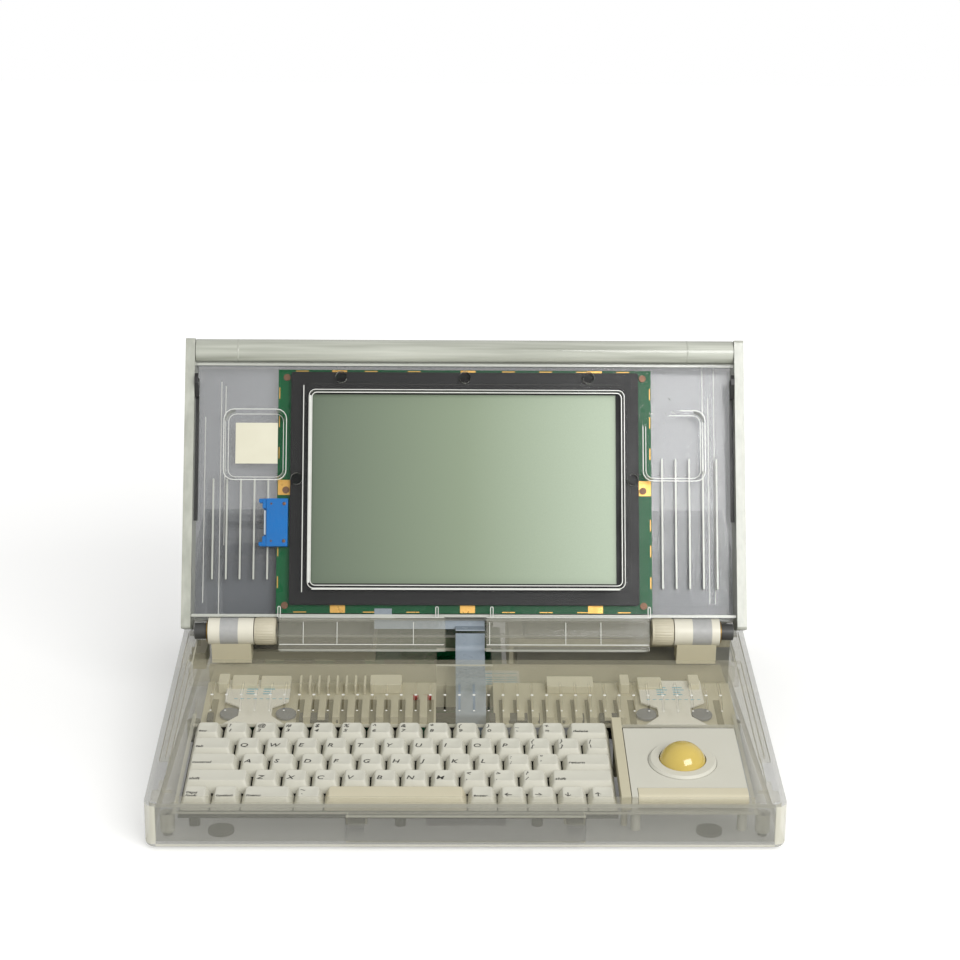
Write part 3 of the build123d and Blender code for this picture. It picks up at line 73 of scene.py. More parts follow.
def finish(name, colours, patch, rough, grain=0.4, bump=0.01, shader=None, squeeze=(1, 1, 1)):
    """A finish whose colour drifts between two hex colours in patches of some mm, with a
    range of roughness and a fine grain in mm; shader has the shader's own numbers, and
    squeeze makes the patches longer along an axis where it is below 1."""
    material = bpy.data.materials.new(name)
    material.use_nodes = True
    tree = material.node_tree
    tree.nodes.clear()
    place = add_node(tree, "ShaderNodeTexCoord").outputs["Object"]
    drawn = add_node(tree, "ShaderNodeVectorMath", {0: place, 1: squeeze}, operation="MULTIPLY")
    drift = add_node(tree, "ShaderNodeTexNoise", {"Vector": drawn.outputs[0],
                     "Scale": 1000 / patch})
    colour = add_node(tree, "ShaderNodeMix", {0: drift.outputs[0], 6: linear(colours[0]),
                      7: linear(colours[1])}, data_type="RGBA")
    speck = add_node(tree, "ShaderNodeTexNoise", {"Vector": place, "Scale": 1000 / grain})
    wear = add_node(tree, "ShaderNodeMapRange", {"Value": drift.outputs[0], "From Min": 0.3,
                    "From Max": 0.7, "To Min": rough[0], "To Max": rough[1]})
    relief = add_node(tree, "ShaderNodeBump", {"Height": speck.outputs[0], "Strength": 0.5,
                      "Distance": bump / 1000})
    principled = add_node(tree, "ShaderNodeBsdfPrincipled", {"Base Color": colour.outputs[2],
                          "Roughness": wear.outputs[0], "Normal": relief.outputs[0]})
    for key, value in (shader or {}).items():
        principled.inputs[key].default_value = value
    add_node(tree, "ShaderNodeOutputMaterial", {"Surface": principled.outputs[0]})
    return material


def rounded(x0, x1, y0, y1, radius, steps=4):
    """The outline of a rectangle with round corners."""
    outline = []
    for cx, cy, start in ((x1 - radius, y1 - radius, 0), (x0 + radius, y1 - radius, 90),
                          (x0 + radius, y0 + radius, 180), (x1 - radius, y0 + radius, 270)):
        for k in range(steps + 1):
            angle = math.radians(start + 90 * k / steps)
            outline.append((cx + radius * math.cos(angle), cy + radius * math.sin(angle)))
    return outline


def loft(rings, closed=False):
    """Points and faces through rings of equally many points, with flat ends unless closed."""
    count = len(rings[0])
    points = [point for ring in rings for point in ring]
    pairs = [(r, r + 1) for r in range(len(rings) - 1)] + ([(len(rings) - 1, 0)] if closed else [])
    faces = [(a * count + k, a * count + (k + 1) % count, b * count + (k + 1) % count,
              b * count + k) for a, b in pairs for k in range(count)]
    if not closed:
        faces += [tuple(range(count)), tuple(range(len(points) - count, len(points)))]
    return points, faces


def piece(name, shapes, material, body, replaces=(), bevel=0):
    """One mesh of several shapes that rides on a body; bevel is in mm."""
    points, faces = [], []
    for shape_points, shape_faces in shapes:
        faces += [tuple(len(points) + i for i in face) for face in shape_faces]
        points += shape_points
    mesh = bpy.data.meshes.new(name)
    mesh.from_pydata(points, [], faces)
    work = bmesh.new()
    work.from_mesh(mesh)
    bmesh.ops.recalc_face_normals(work, faces=work.faces)
    work.to_mesh(mesh)
    work.free()
    mesh.materials.append(material)
    mesh.shade_smooth()
    mesh.set_sharp_from_angle(angle=math.radians(35))
    thing = bpy.data.objects.new(name, mesh)
    bpy.context.scene.collection.objects.link(thing)
    if bevel:
        rounding = thing.modifiers.new("edges", "BEVEL")
        rounding.width = bevel / 1000
        rounding.segments = 2
        rounding.limit_method = "ANGLE"
    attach(thing, body)
    if replaces:
        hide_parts(*replaces)
    return thing


def dish(x, x0, x1, depth):
    """How far the hollow of a cap's top lies below its rim at x."""
    across = (2 * x - x0 - x1) / (x1 - x0)
    return depth * (1 - across * across)


cap_foot, cap_top = -14.3, -6.8  # above the deck
key_pitch = 18.4
cap_size = 17.6
cap_dish = 0.55


def key_cap(x0, x1, f0, f1, depth):
    """A hollow cap between x0 and x1 and f0 and f1; a negative depth crowns its top."""
    foot, top, wall = cap_foot, cap_top, 1.2
    tx0, tx1, tf0, tf1 = x0 + 2.7, x1 - 2.7, f0 + 2.2, f1 - 3.4
    rings = [[on_deck(x, f, foot) for x, f in rounded(x0, x1, f0, f1, 1.2)]]
    rings.append([on_deck(x, f, foot + 0.6) for x, f in rounded(x0 + 0.1, x1 - 0.1, f0 + 0.1,
                                                                f1 - 0.1, 1.3)])
    for inward, down in ((-0.16, 0.5), (-0.02, 0.16), (0.2, 0.02)):
        rings.append([on_deck(x, f, top - down) for x, f in rounded(
            tx0 + inward, tx1 - inward, tf0 + inward, tf1 - inward, 1.8)])
    for inward in (0.8, 1.8, 3.2, 4.6):
        rings.append([on_deck(x, f, top - dish(x, tx0, tx1, depth) * min(1, inward / 3.2))
                      for x, f in rounded(tx0 + inward, tx1 - inward, tf0 + inward * 0.9,
                                          tf1 - inward * 0.9, max(0.3, 1.8 - inward / 3))])
    rings.append([on_deck(x, f, top - dish(x, tx0, tx1, depth)) for x, f in rounded(
        tx0 + 5.4, tx1 - 5.4, (tf0 + tf1) / 2 - 0.6, (tf0 + tf1) / 2 + 0.6, 0.2)])
    inner = [[on_deck(x, f, w) for x, f in rounded(x0 + inset, x1 - inset, f0 + inset, f1 - inset, 0.8)]
             for inset, w in ((wall, foot), (wall + 1.6, top - 1.8))]
    outer_points, outer_faces = loft(rings)
    inner_points, inner_faces = loft(inner)
    count, base = len(rings[0]), len(outer_points)
    rim = [(k, (k + 1) % count, base + (k + 1) % count, base + k) for k in range(count)]
    inner_faces = [tuple(base + i for i in face) for face in inner_faces[:-2] + inner_faces[-1:]]
    return outer_points + inner_points, outer_faces[:-2] + outer_faces[-1:] + inner_faces + rim


def letters(text, size, x, f, height, slant=0.25):
    """Points and faces of raised words whose lower left corner is at x and f; height gives w."""
    words = bpy.data.curves.new("words", "FONT")
    words.body = text
    words.size = size
    words.shear = slant
    words.extrude = 0.02
    words.offset = 0.07
    words.resolution_u = 3
    holder = bpy.data.objects.new("words", words)
    bpy.context.scene.collection.objects.link(holder)
    mesh = bpy.data.meshes.new_from_object(holder)
    points = [on_deck(x + v.co.x, f - v.co.y, height(x + v.co.x, f - v.co.y) + v.co.z)
              for v in mesh.vertices]
    faces = [tuple(p.vertices) for p in mesh.polygons]
    bpy.data.objects.remove(holder)
    bpy.data.curves.remove(words)
    bpy.data.meshes.remove(mesh)
    return points, faces


# Off-white key plastic, matt with a fine spark-eroded grain: broad soft highlights.
key_plastic = finish("key_plastic_matt", ("#d2d0c3", "#c9c7b9"), 30, (0.4, 0.55), 0.3, 0.012)
# The long bar has yellowed a little more than the caps round it.
aged_plastic = finish("aged_key_plastic_matt", ("#d0c9b0", "#c8c0a6"), 30, (0.4, 0.55), 0.3, 0.01)
# Black-brown legend ink under the surface, so it is as matt as the cap.
legend_ink = finish("legend_ink", ("#3a3834", "#2e2c29"), 4, (0.5, 0.6))

key_rows = (
    ([1] * 13 + [1.5], ["esc", "1!", "2@", "3#", "4$", "5%", "6^", "7&", "8*", "9(", "0)", "-_",
                        "=+", "delete"]),
    ([1.5] + [1] * 13, ["tab"] + list("QWERTYUIOP") + ["[{", "]}", "\\|"]),
    ([1.75] + [1] * 11 + [1.75], ["control"] + list("ASDFGHJKL") + [";:", "'\"", "return"]),
    ([2.25] + [1] * 10 + [2.25], ["shift"] + list("ZXCVBNM") + [",<", ".>", "/?", "shift"]),
    ([1, 1, 1.75, 1, 4.75, 1, 1, 1, 1, 1], ["caps\nlock", "option", "menu", "`~", "", "enter",
                                            "←", "→", "↓", "↑"]),
)
key_nodes = {
    "number_row_keys": (0, range(13)), "delete_key": (0, [13]), "tab_key": (1, [0]),
    "top_letter_keys": (1, range(1, 14)), "control_key": (2, [0]),
    "home_letter_keys": (2, range(1, 12)), "return_key": (2, [12]),
    "left_shift_key": (3, [0]), "bottom_letter_keys": (3, range(1, 11)),
    "right_shift_key": (3, [11]), "modifier_keys": (4, [0, 1, 2, 3, 5]),
    "space_bar": (4, [4]), "arrow_keys": (4, range(6, 10)),
}
for node, (row, places) in key_nodes.items():
    widths, legends = key_rows[row]
    front = 98.4 + row * key_pitch
    caps, prints = [], []
    for place in places:
        left = -173.9 + key_pitch * sum(widths[:place]) + (key_pitch - cap_size) / 2
        right = left + key_pitch * widths[place] - (key_pitch - cap_size)
        long_bar = node == "space_bar"
        caps.append(key_cap(left, right, front, front + cap_size, -0.35 if long_bar else cap_dish))

        def surface(x, f, x0=left + 2.7, x1=right - 2.7, f0=front + 2.2, f1=front + 14.2):
            inward = max(0, min(x - x0, x1 - x, (f - f0) / 0.9, (f1 - f) / 0.9))
            return cap_top - dish(x0 + inward, x0, x1, cap_dish) * min(1, inward / 3.2) + 0.06

        legend = legends[place]
        edge = left + 3.3
        if len(legend) == 2:
            prints.append(letters(legend[0], 5.0, edge, front + 13.2, surface))
            prints.append(letters(legend[1], 5.0, edge, front + 7.4, surface))
        elif len(legend) == 1 and legend not in "←→↓↑":
            prints.append(letters(legend, 6.0, edge, front + 12.4, surface))
        elif len(legend) == 1:
            prints.append(letters(legend, 6.0, edge, front + 12.6, surface, 0))
        elif legend:
            lines = legend.split("\n")
            for k, word in enumerate(reversed(lines)):
                prints.append(letters(word, 3.9, edge - 0.2, front + 13.2 - 3.6 * k, surface))
    piece(node + "_caps", caps, aged_plastic if node == "space_bar" else key_plastic, node,
          [node])
    if prints:
        piece(node + "_legends", prints, legend_ink, node)


# ---- Key switches and their plate ----
# Black moulded switches under the caps, on a pressed plate that hangs from the deck.


def strips(mesh):
    """The polygons of a CAD mesh that make up long flat faces less than 3 mm wide."""
    corners = [tuple(round(c * 1e6) for c in vertex.co) for vertex in mesh.vertices]
    sides = {}
    for polygon in mesh.polygons:
        ring = [corners[i] for i in polygon.vertices]
        for side in zip(ring, ring[1:] + ring[:1]):
            sides.setdefault(frozenset(side), []).append(polygon.index)
    part_of = list(range(len(mesh.polygons)))

    def face_of(index):
        while part_of[index] != index:
            index = part_of[index]
        return index

    normals = [polygon.normal.copy() for polygon in mesh.polygons]
    for shared in sides.values():
        for other in shared[1:]:
            if normals[shared[0]].dot(normals[other]) > 0.9995:
                part_of[face_of(other)] = face_of(shared[0])
    area, rim = {}, {}
    for polygon in mesh.polygons:
        area[face_of(polygon.index)] = area.get(face_of(polygon.index), 0) + polygon.area
    for side, shared in sides.items():
        faces = {face_of(index) for index in shared}
        if len(faces) > 1:
            for face in faces:
                rim[face] = rim.get(face, 0) + math.dist(*side) / 1e6 if len(side) == 2 else 0
    narrow = {face for face in area if 2 * area[face] < 0.003 * rim.get(face, 0)
              and rim[face] ** 2 > 32 * area[face]}
    return {index for index in range(len(part_of)) if face_of(index) in narrow}


def dress(nodes, material, edge=None, side=None, side_from=0):
    """Gives CAD nodes a material, an edge material to their narrow faces, and a side
    material to what is further than side_from mm from the middle."""
    for node in nodes:
        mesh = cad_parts[node].data
        mesh.materials.clear()
        for layer in (material, edge or material, side or material):
            mesh.materials.append(layer)
        narrow = strips(mesh) if edge else ()
        for polygon in mesh.polygons:
            polygon.material_index = 1 if polygon.index in narrow else 0
            reaches = [mesh.vertices[i].co.x * 1000 for i in polygon.vertices]
            if side and (min(reaches) > side_from or max(reaches) < -side_from):
                polygon.material_index = 2
        mesh.shade_smooth()
        mesh.set_sharp_from_angle(angle=math.radians(35))


# Black glass-filled plastic, slightly shiny on its moulded faces.
black_plastic = finish("black_plastic_moulded", ("#1d1c1b", "#262524"), 12, (0.35, 0.5))
# Zinc-plated sheet under dark lacquer, with the streaks of rolling.
dark_sheet = finish("dark_lacquered_sheet", ("#0f0e0f", "#171516"), 25, (0.3, 0.45),
                    shader={"Metallic": 0.15, "Specular IOR Level": 0.3})
dress(["key_switches", "latch_slides", "port_connectors"], black_plastic)
dress(["keyboard_frame", "lcd_frame"], dark_sheet)


# ---- Clear case: lid ----
# The lid's shell and front panel are moulded in clear plastic. Their plates are almost
# invisible, and their walls, ribs and rims are seen edge-on, where they look milky.


def on_lid(x, u, v):
    """The point, in metres, at x, u up the open lid from the hinge and v in front of it."""
    lean = math.radians(23.5)
    y = 24 + u * math.sin(lean) - v * math.cos(lean)
    z = 64.3 + u * math.cos(lean) + v * math.sin(lean)
    return Vector((x, y, z)) / 1000


def clear(name, colours, alpha, rough, patch=60, squeeze=(1, 1, 1)):
    """Clear plastic: its body colour counts as much as alpha says, under a hard gloss."""
    return finish(name, colours, patch, rough, 40, 0.01, {"Alpha": alpha, "IOR": 1.58}, squeeze)


def slab(place, x, y, z, radius=0.4):
    """A block between pairs of x, y and z, whose corners seen along z are round."""
    return loft([[place(px, py, level) for px, py in rounded(*x, *y, radius)] for level in z])


def border(place, x, y, z, width, radius):
    """A flat frame of some width round a rectangle."""
    outer = rounded(x[0] - width, x[1] + width, y[0] - width, y[1] + width, radius + width)
    inner = rounded(*x, *y, radius)
    return loft([[place(px, py, level) for px, py in outline] for outline, level in (
        (outer, z[0]), (outer, z[1]), (inner, z[1]), (inner, z[0]))], closed=True)


def open_border(place, x, y, z, width, radius, first, ends):
    """A border that starts at one of two ends, goes round from its corner point number
    first to the end of the corner at high x and high y, and stops at the other end; an
    end is a point of the inner outline and one of the outer."""
    pairs = list(zip(rounded(*x, *y, radius),
                     rounded(x[0] - width, x[1] + width, y[0] - width, y[1] + width, radius + width)))
    run = [ends[0]] + pairs[first:] + pairs[:5] + [ends[1]]
    return loft([[place(*outer, z[0]), place(*outer, z[1]), place(*inner, z[1]),
                  place(*inner, z[0])] for inner, outer in run])


def turned(place, profile, ridge=0, ridges=36):
    """A body turned round place's third axis through pairs of distance along it and
    radius, with ridges of some height where the radius is the profile's largest."""
    largest = max(radius for _, radius in profile)
    rings = []
    for along, radius in profile:
        ring = []
        for k in range(4 * ridges):
            reach = radius + (ridge if k % 4 < 2 and radius == largest else 0)
            angle = math.tau * k / (4 * ridges)
            ring.append(place(reach * math.cos(angle), reach * math.sin(angle), along))
        rings.append(ring)
    return loft(rings)


# The back plate is clear plastic tinted smoky grey; its darker and lighter patches are painted shade
# for the dark seen through it and behind its ribs.
lid_plate_painted_shade = clear("clear_plate_painted_shade", ("#63666b", "#84878b"), 0.56, (0.1, 0.18), 45,
                  (1, 1, 0.45))
# Cut and moulded edges gather light from the whole plate, so their pale colour is a painted highlight,
# the plate's brightest part.
lid_edge_highlight = clear("painted_highlight_clear_edge", ("#d6d8cf", "#c6c8bd"), 0.8, (0.12, 0.2))
# The side rails are closed box sections, so they look grey-green and almost solid; their pale streaks
# are painted highlights.
lid_rail = clear("milky_rail_painted_streaks", ("#9fa195", "#cfd1c5"), 0.88, (0.12, 0.22), 5, (1, 1, 0.06))
# Clean polished plate in front of the display.
bezel_plate = clear("clear_polished_plate", ("#aab0ac", "#b8beb8"), 0.012, (0.04, 0.08))
cover_plate = clear("clear_cover", ("#c9c7b6", "#b9b7a6"), 0.16, (0.05, 0.1))
dress(["lid_shell"], lid_plate_painted_shade, lid_edge_highlight, lid_rail, 186.5)
dress(["lid_bezel"], bezel_plate, lid_edge_highlight)
dress(["clutch_covers"], cover_plate, lid_edge_highlight)
# The latch bar is thick, so it looks almost like frosted glass; the pale streaks along it are painted
# highlights.
dress(["latch_bar"], clear("milky_bar_painted_streaks", ("#86897c", "#dfe1d5"), 0.93, (0.1, 0.22), 4,
                           (0.04, 1, 1)))

# Bright beads round the window and the pockets, where the mould's radius shines, and the clear pins
# that locate the covers below: their near-white is a painted highlight.
beads = [border(on_lid, (-105.6, 108.2), (31.6, 164.8), (3.0, 3.78), 0.6, 3),
         border(on_lid, (-107.6, 110.2), (29.6, 166.8), (3.0, 3.78), 0.5, 4),
         slab(on_lid, (-107.5, -106.3), (33, 163), (3.0, 3.8), 0.3),
         slab(on_lid, (-105, 107), (28.3, 29.1), (3.0, 3.78), 0.3),
         slab(on_lid, (-111.9, -111.3), (26.5, 170), (3.0, 3.8), 0.2)]
beads.append(border(on_lid, (-166.2, -123.6), (104.3, 152.9), (3.0, 3.4), 0.5, 6.5))
beads.append(border(on_lid, (-163.7, -126.1), (106.8, 150.4), (-3.8, -3.4), 0.4, 5))
# The right pocket's rims stop on either side of the hollow that clears the ball.
beads.append(open_border(on_lid, (123.6, 166.2), (104.3, 152.9), (3.0, 3.4), 0.5, 6.5, 10,
                         (((123.6, 142), (123.1, 142)), ((149, 152.9), (149, 153.4)))))
beads.append(open_border(on_lid, (126.1, 163.7), (106.8, 150.4), (-3.8, -3.4), 0.4, 5, 10,
                         (((126.1, 143), (125.7, 143)), ((142, 150.4), (142, 150.8)))))
for x in (-126.8, -18.8, 18.8, 126.8):
    beads.append(border(on_lid, (x - 0.6, x + 0.6), (9.5, 16.5), (3.0, 3.8), 0.5, 0.55))
for low, high in ((-126, -14), (15, 126)):
    beads.append(slab(on_lid, (low, high), (9.0, 9.4), (8.0, 8.3), 0.15))
    beads.append(slab(on_lid, (low, high), (-9.6, -9.1), (8.0, 8.4), 0.2))
for x in (-110, -87, -35, 17, 69, 93):
    beads.append(slab(on_lid, (x, x + 0.4), (-9, 6), (8.0, 8.3), 0.15))
for x, low, high in ((-170.5, 10, 175), (-167.5, 60, 172), (-181.5, 20, 150), (166.5, 110, 190),
                     (170.5, 20, 165), (174.5, 20, 185)):
    beads.append(slab(on_lid, (x, x + 0.5), (low, high), (-15, -14.6), 0.2))
# Near-white painted highlight for the beads.
bead_highlight = clear("painted_highlight_bead", ("#f4f5ef", "#dfe0d8"), 0.85, (0.08, 0.15), 6)
piece("lid_highlight_beads", beads, bead_highlight, "lid")

# A ring marks where the turned middle of the latch bar ends, near either rail.
bar_rings = [loft([[on_lid(x, 194.7 + r * math.cos(k * math.tau / 48), -2.5 + r * math.sin(
    k * math.tau / 48)) for k in range(48)] for x, r in ((low, 8.28), (low + 0.2, 8.4), (
        low + 1.0, 8.4), (low + 1.2, 8.28))]) for low in (-158, 154)]
piece("latch_bar_rings", bar_rings, lid_rail, "latch_bar")

# ---- Clear case: base ----
# The tray, deck and rear cover are clear mouldings too, yellowed a little, and the
# cream frames inside show through them.

deck_plate = clear("clear_deck_plate", ("#c5c0a8", "#b5b098"), 0.14, (0.06, 0.12))
# Pale painted highlight for the narrow faces of the deck and tray, such as the vent slots' sides.
deck_edge_highlight = clear("painted_highlight_deck_edge", ("#dedccd", "#cbc8b6"), 0.7, (0.12, 0.2))
tray_plate = clear("smoky_tray_plate", ("#85857c", "#a09f94"), 0.3, (0.08, 0.15))
dress(["base_deck"], deck_plate, deck_edge_highlight)
dress(["base_tray", "rear_cover", "battery_door", "handle"], tray_plate, deck_edge_highlight)

# A small bright bead at both ends of every vent slot is a painted highlight where the slot's rounded
# end catches the light.
dots = []
slope_from, slope = 78.1, 0.5026  # the deck falls this steeply from here to the keyboard
for slot_number in range(36):
    x = -164.96 + 9.4914 * slot_number
    for f, reach in ((77.4, 1.0), (88.4, 0.7)):
        rings = [[on_deck(x + reach * size * math.cos(turn), f + reach * size * math.sin(turn), w)
                  for turn in (math.tau * k / 12 for k in range(12))]
                 for size, w in ((1, 0.02), (0.8, 0.07), (0.4, 0.1))]
        if f > slope_from:
            drop = on_deck(0, 0, slope * (slope_from - f)) - on_deck(0, 0, 0)
            rings = [[point + drop for point in ring] for ring in rings]
        dots.append(loft(rings))
piece("vent_highlight_beads", dots, finish("painted_highlight_slot_end", ("#f4f3ec", "#e9e8e0"), 5, (0.1, 0.2)),
      "base")


# ---- Cream mouldings ----
# The inner frame, hinge brackets, guides and buttons are moulded in a cream plastic that
# has kept its colour behind the clear case.

# Cream moulded plastic, satin.
cream_plastic = finish("cream_plastic_satin", ("#c9c2a8", "#bdb69b"), 35, (0.35, 0.5))
dress(["drive_frame", "hinge_brackets", "handle_guides", "programmer_switch", "reset_button",
       "interrupt_button", "filler_strip"], cream_plastic)


# ---- Hinge housings ----
# White moulded barrels hold the clutches, each with a band of silvery paper glued round
# it and a metal washer outside, and beige knurled hubs turn with the lid beside them.


def around_hinge(a, b, x):
    """The point, in metres, a behind and b above the hinge's axis at x."""
    return Vector((x, 24 + a, 64.3 + b)) / 1000


# Whiter plastic than the frame's, satin.
barrel_plastic = finish("white_barrel_plastic", ("#e4e0d0", "#d9d5c4"), 12, (0.3, 0.45))
hub_plastic = finish("beige_hub_plastic", ("#cdc6b0", "#bfb8a1"), 8, (0.4, 0.5))
dark_boss = finish("dark_end_boss", ("#4a4a48", "#3d3d3b"), 6, (0.4, 0.5))
dress(["hinge_clutches"], barrel_plastic, side=dark_boss, side_from=174.5)
dress(["hinge_hubs"], hub_plastic)
bands = [turned(around_hinge, ((low, 9.15), (low, 9.3), (high, 9.3), (high, 9.15)))
         for low, high in ((-166.7, -154.4), (156.2, 169.2))]
# Silvery grey paper, slightly creased.
piece("hinge_paper_bands", bands, finish("silvery_paper", ("#b3b3b0", "#a2a2a1"), 3, (0.35, 0.5),
      0.8, 0.05), "base")
washers = [turned(around_hinge, ((low, 5.6), (low, 7.2), (low + 0.2, 7.5), (low + 0.8, 7.5),
                                 (low + 1, 7.2), (low + 1, 5.6))) for low in (-176.1, 175.0)]
# Brass, browned with age.
piece("hinge_washers", washers, finish("aged_brass", ("#a98a4e", "#8a6d3c"), 2, (0.3, 0.45),
      shader={"Metallic": 0.9}), "base")
sleeves = [turned(around_hinge, ((low, 8.9), (low + 0.5, 9.05), (low + 12.4, 9.05),
                                 (low + 12.9, 8.9)), 0.3, 30) for low in (-142.7, 129.8)]
piece("knurled_hub_sleeves", sleeves, hub_plastic, "lid")


# ---- Connector tabs and small parts under the deck ----
# Two white waisted tabs carry the cables' connectors under the vents, each with two grey
# discs beside its waist and pale-blue ink marks; a paper label lies on the shelf behind.

tab_plastic = finish("white_tab_plastic", ("#ebe8dc", "#e0ddd0"), 10, (0.35, 0.45))
dress(["connector_tabs"], tab_plastic)
discs, marks = [], []
for middle in (-135.3, 137.4):
    for x in (middle - 18.2, middle + 18.2):
        discs.append(turned(lambda a, b, c, x=x: on_deck(x + a, 78.5 + b, c),
                            ((-15, 6.8), (-13.4, 6.8), (-13.1, 6.4), (-13.1, 2.0)), ridges=9))
    for column in (-9.5, 1.5):
        for row, reach in enumerate((6.5, 7.5, 5.0, 6.0)):
            marks.append(slab(on_deck, (middle + column, middle + column + reach),
                              (47 + 3 * row, 48.1 + 3 * row), (-12.0, -11.93), 0.3))
    marks += [slab(on_deck, (middle - 17 + 4.2 * k, middle - 14.6 + 4.2 * k), (62.5, 63.2),
                   (-12.0, -11.93), 0.2) for k in range(9)]
piece("connector_discs", discs, finish("grey_rubber_disc", ("#77797f", "#6a6c72"), 4, (0.5, 0.6)),
      "base", bevel=0.2)


def on_floor(x, y, z):
    """The point, in metres, at x, y and z in mm."""
    return Vector((x, y, z)) / 1000


marks += [slab(on_floor, (x, x + 7.5), (y, y + 1.2), (36.45, 36.5), 0.3)
          for x in (11.5, 20.0, 28.5) for y in (-3, 1, 5, 9, 16)]
piece("pale_blue_marks", marks, finish("pale_blue_ink", ("#6fb2c6", "#7fbccd"), 3, (0.5, 0.6)),
      "base")
piece("shelf_label", [slab(on_floor, (9.5, 37.7), (-6, 22), (36.2, 36.45), 1.5)],
      finish("white_label_paper", ("#e6e6df", "#dadad3"), 12, (0.6, 0.7)), "base",
      bevel=0.05)
boxes = [slab(on_deck, (low, high), (79, 88), (-15.5, -12.4), 0.6)
         for low, high in ((-168, -164), (-108, -105.5), (-101.5, -89.0), (-84.5, -82.0),
                           (16, 20), (28, 41), (47, 49), (63, 66), (76, 78), (88, 100))]
piece("cable_clips", boxes, finish("dark_grey_clip", ("#54534f", "#484743"), 5, (0.5, 0.6)),
      "base", bevel=0.4)
# Cream blocks and upright fins of the frame stand under the deck's rear edge, in a paler cream that is
# painted light, and dark strips on the plate between its bars are painted shade.
blocks = [slab(on_deck, (low, high), (37, 50), (-15.5, top), 0.8)
          for low, high, top in ((-164, -157, -8), (-155, -138, -9), (-136, -116, -9.5),
                                 (-63, -42, -8.5), (55, 86, -9.5), (104, 110, -8), (116, 132, -10),
                                 (150, 157, -8))]
blocks += [slab(on_deck, (-110 + 6.1 * k, -108.6 + 6.1 * k), (38, 52), (-15.5, -8.5), 0.3)
           for k in range(8)]
piece("shelf_blocks", blocks, finish("cream_plastic_painted_light", ("#dcd6bd", "#cfc9b0"), 20, (0.4, 0.5)),
      "base", bevel=0.4)
# Dark strips of painted shade on the plate between the frame's bars.
shades = [slab(on_deck, (x - 2.2, x + 2.2), (58, 89.5), (-15.5, -15.35), 0.5)
          for x in (-164.96 + 9.4914 * k for k in range(36))
          if 21 < abs(x) < 112 or abs(x) > 160]
piece("painted_shade_strips", shades, finish("painted_shade_cream_plastic", ("#8d866c", "#79735b"), 9,
      (0.5, 0.6)), "base")
sleeve_ends = [slab(on_deck, (low, low + 6), (56, 59), (-15.5, -12.4), 1.2)
               for low in (-36.5, -28.0)]
piece("wire_sleeves", sleeve_ends, finish("red_wire_sleeve", ("#a8322c", "#8f2a25"), 3,
      (0.4, 0.5)), "base", bevel=0.6)


# ---- Trackball ----
# The module is an off-white moulding with a bayonet ring that holds a polished
# yellow ball, over a long button with one round end.

# Yellow phenolic, polished: a small hard highlight.
ball_plastic = finish("polished_yellow_ball", ("#cbb35d", "#c1a84e"), 8, (0.08, 0.14),
                      shader={"Coat Weight": 0.5})
# Whiter than the caps, because the module was moulded in another batch.
module_plastic = finish("module_plastic_matt", ("#cfcdc0", "#c6c4b6"), 35, (0.45, 0.6))
dress(["trackball"], ball_plastic)
dress(["trackball_housing", "trackball_ring"], module_plastic)
dress(["trackball_button"], aged_plastic)


# ---- Display ----
# A passive liquid crystal panel in a dark sheet frame on a green circuit board.

# Green solder mask over copper, glossy.
solder_mask = finish("green_solder_mask", ("#005a30", "#004f2a"), 20, (0.25, 0.35),
                     shader={"Specular IOR Level": 0.25})
# Black moulded chip packages.
chip_epoxy = finish("chip_epoxy_matt", ("#232323", "#1b1b1b"), 6, (0.5, 0.6))
# The liquid crystal behind its diffusing film: satin grey-green, paler to the right; this dark-to-pale
# run across it is painted shading for how the panel darkens with the viewing angle.
lcd_film = bpy.data.materials.new("liquid_crystal_film")
lcd_film.use_nodes = True
tree = lcd_film.node_tree
tree.nodes.clear()
place = add_node(tree, "ShaderNodeTexCoord").outputs["Object"]
axes = add_node(tree, "ShaderNodeSeparateXYZ", {"Vector": place})
across = add_node(tree, "ShaderNodeMapRange", {"Value": axes.outputs["X"], "From Min": -0.107,
                  "From Max": 0.107})
shade = add_node(tree, "ShaderNodeValToRGB", {"Fac": across.outputs[0]})
shade.color_ramp.elements[0].color = linear("#5b6856")
shade.color_ramp.elements[1].color = linear("#acbba3")
shade.color_ramp.elements.new(0.5).color = linear("#7f8e73")
speckle = add_node(tree, "ShaderNodeTexNoise", {"Vector": place, "Scale": 1000 / 0.8})
amount = add_node(tree, "ShaderNodeMath", {0: speckle.outputs[0], 1: 0.25}, operation="MULTIPLY")
film = add_node(tree, "ShaderNodeMix", {0: amount.outputs[0], 6: shade.outputs[0],
                7: linear("#727f6b")}, data_type="RGBA")
film_shader = add_node(tree, "ShaderNodeBsdfPrincipled", {"Base Color": film.outputs[2],
                       "Roughness": 0.35})
add_node(tree, "ShaderNodeOutputMaterial", {"Surface": film_shader.outputs[0]})
dress(["lcd_panel"], lcd_film)
dress(["lcd_board", "logic_board", "memory_card"], solder_mask)
dress(["board_chips"], chip_epoxy)

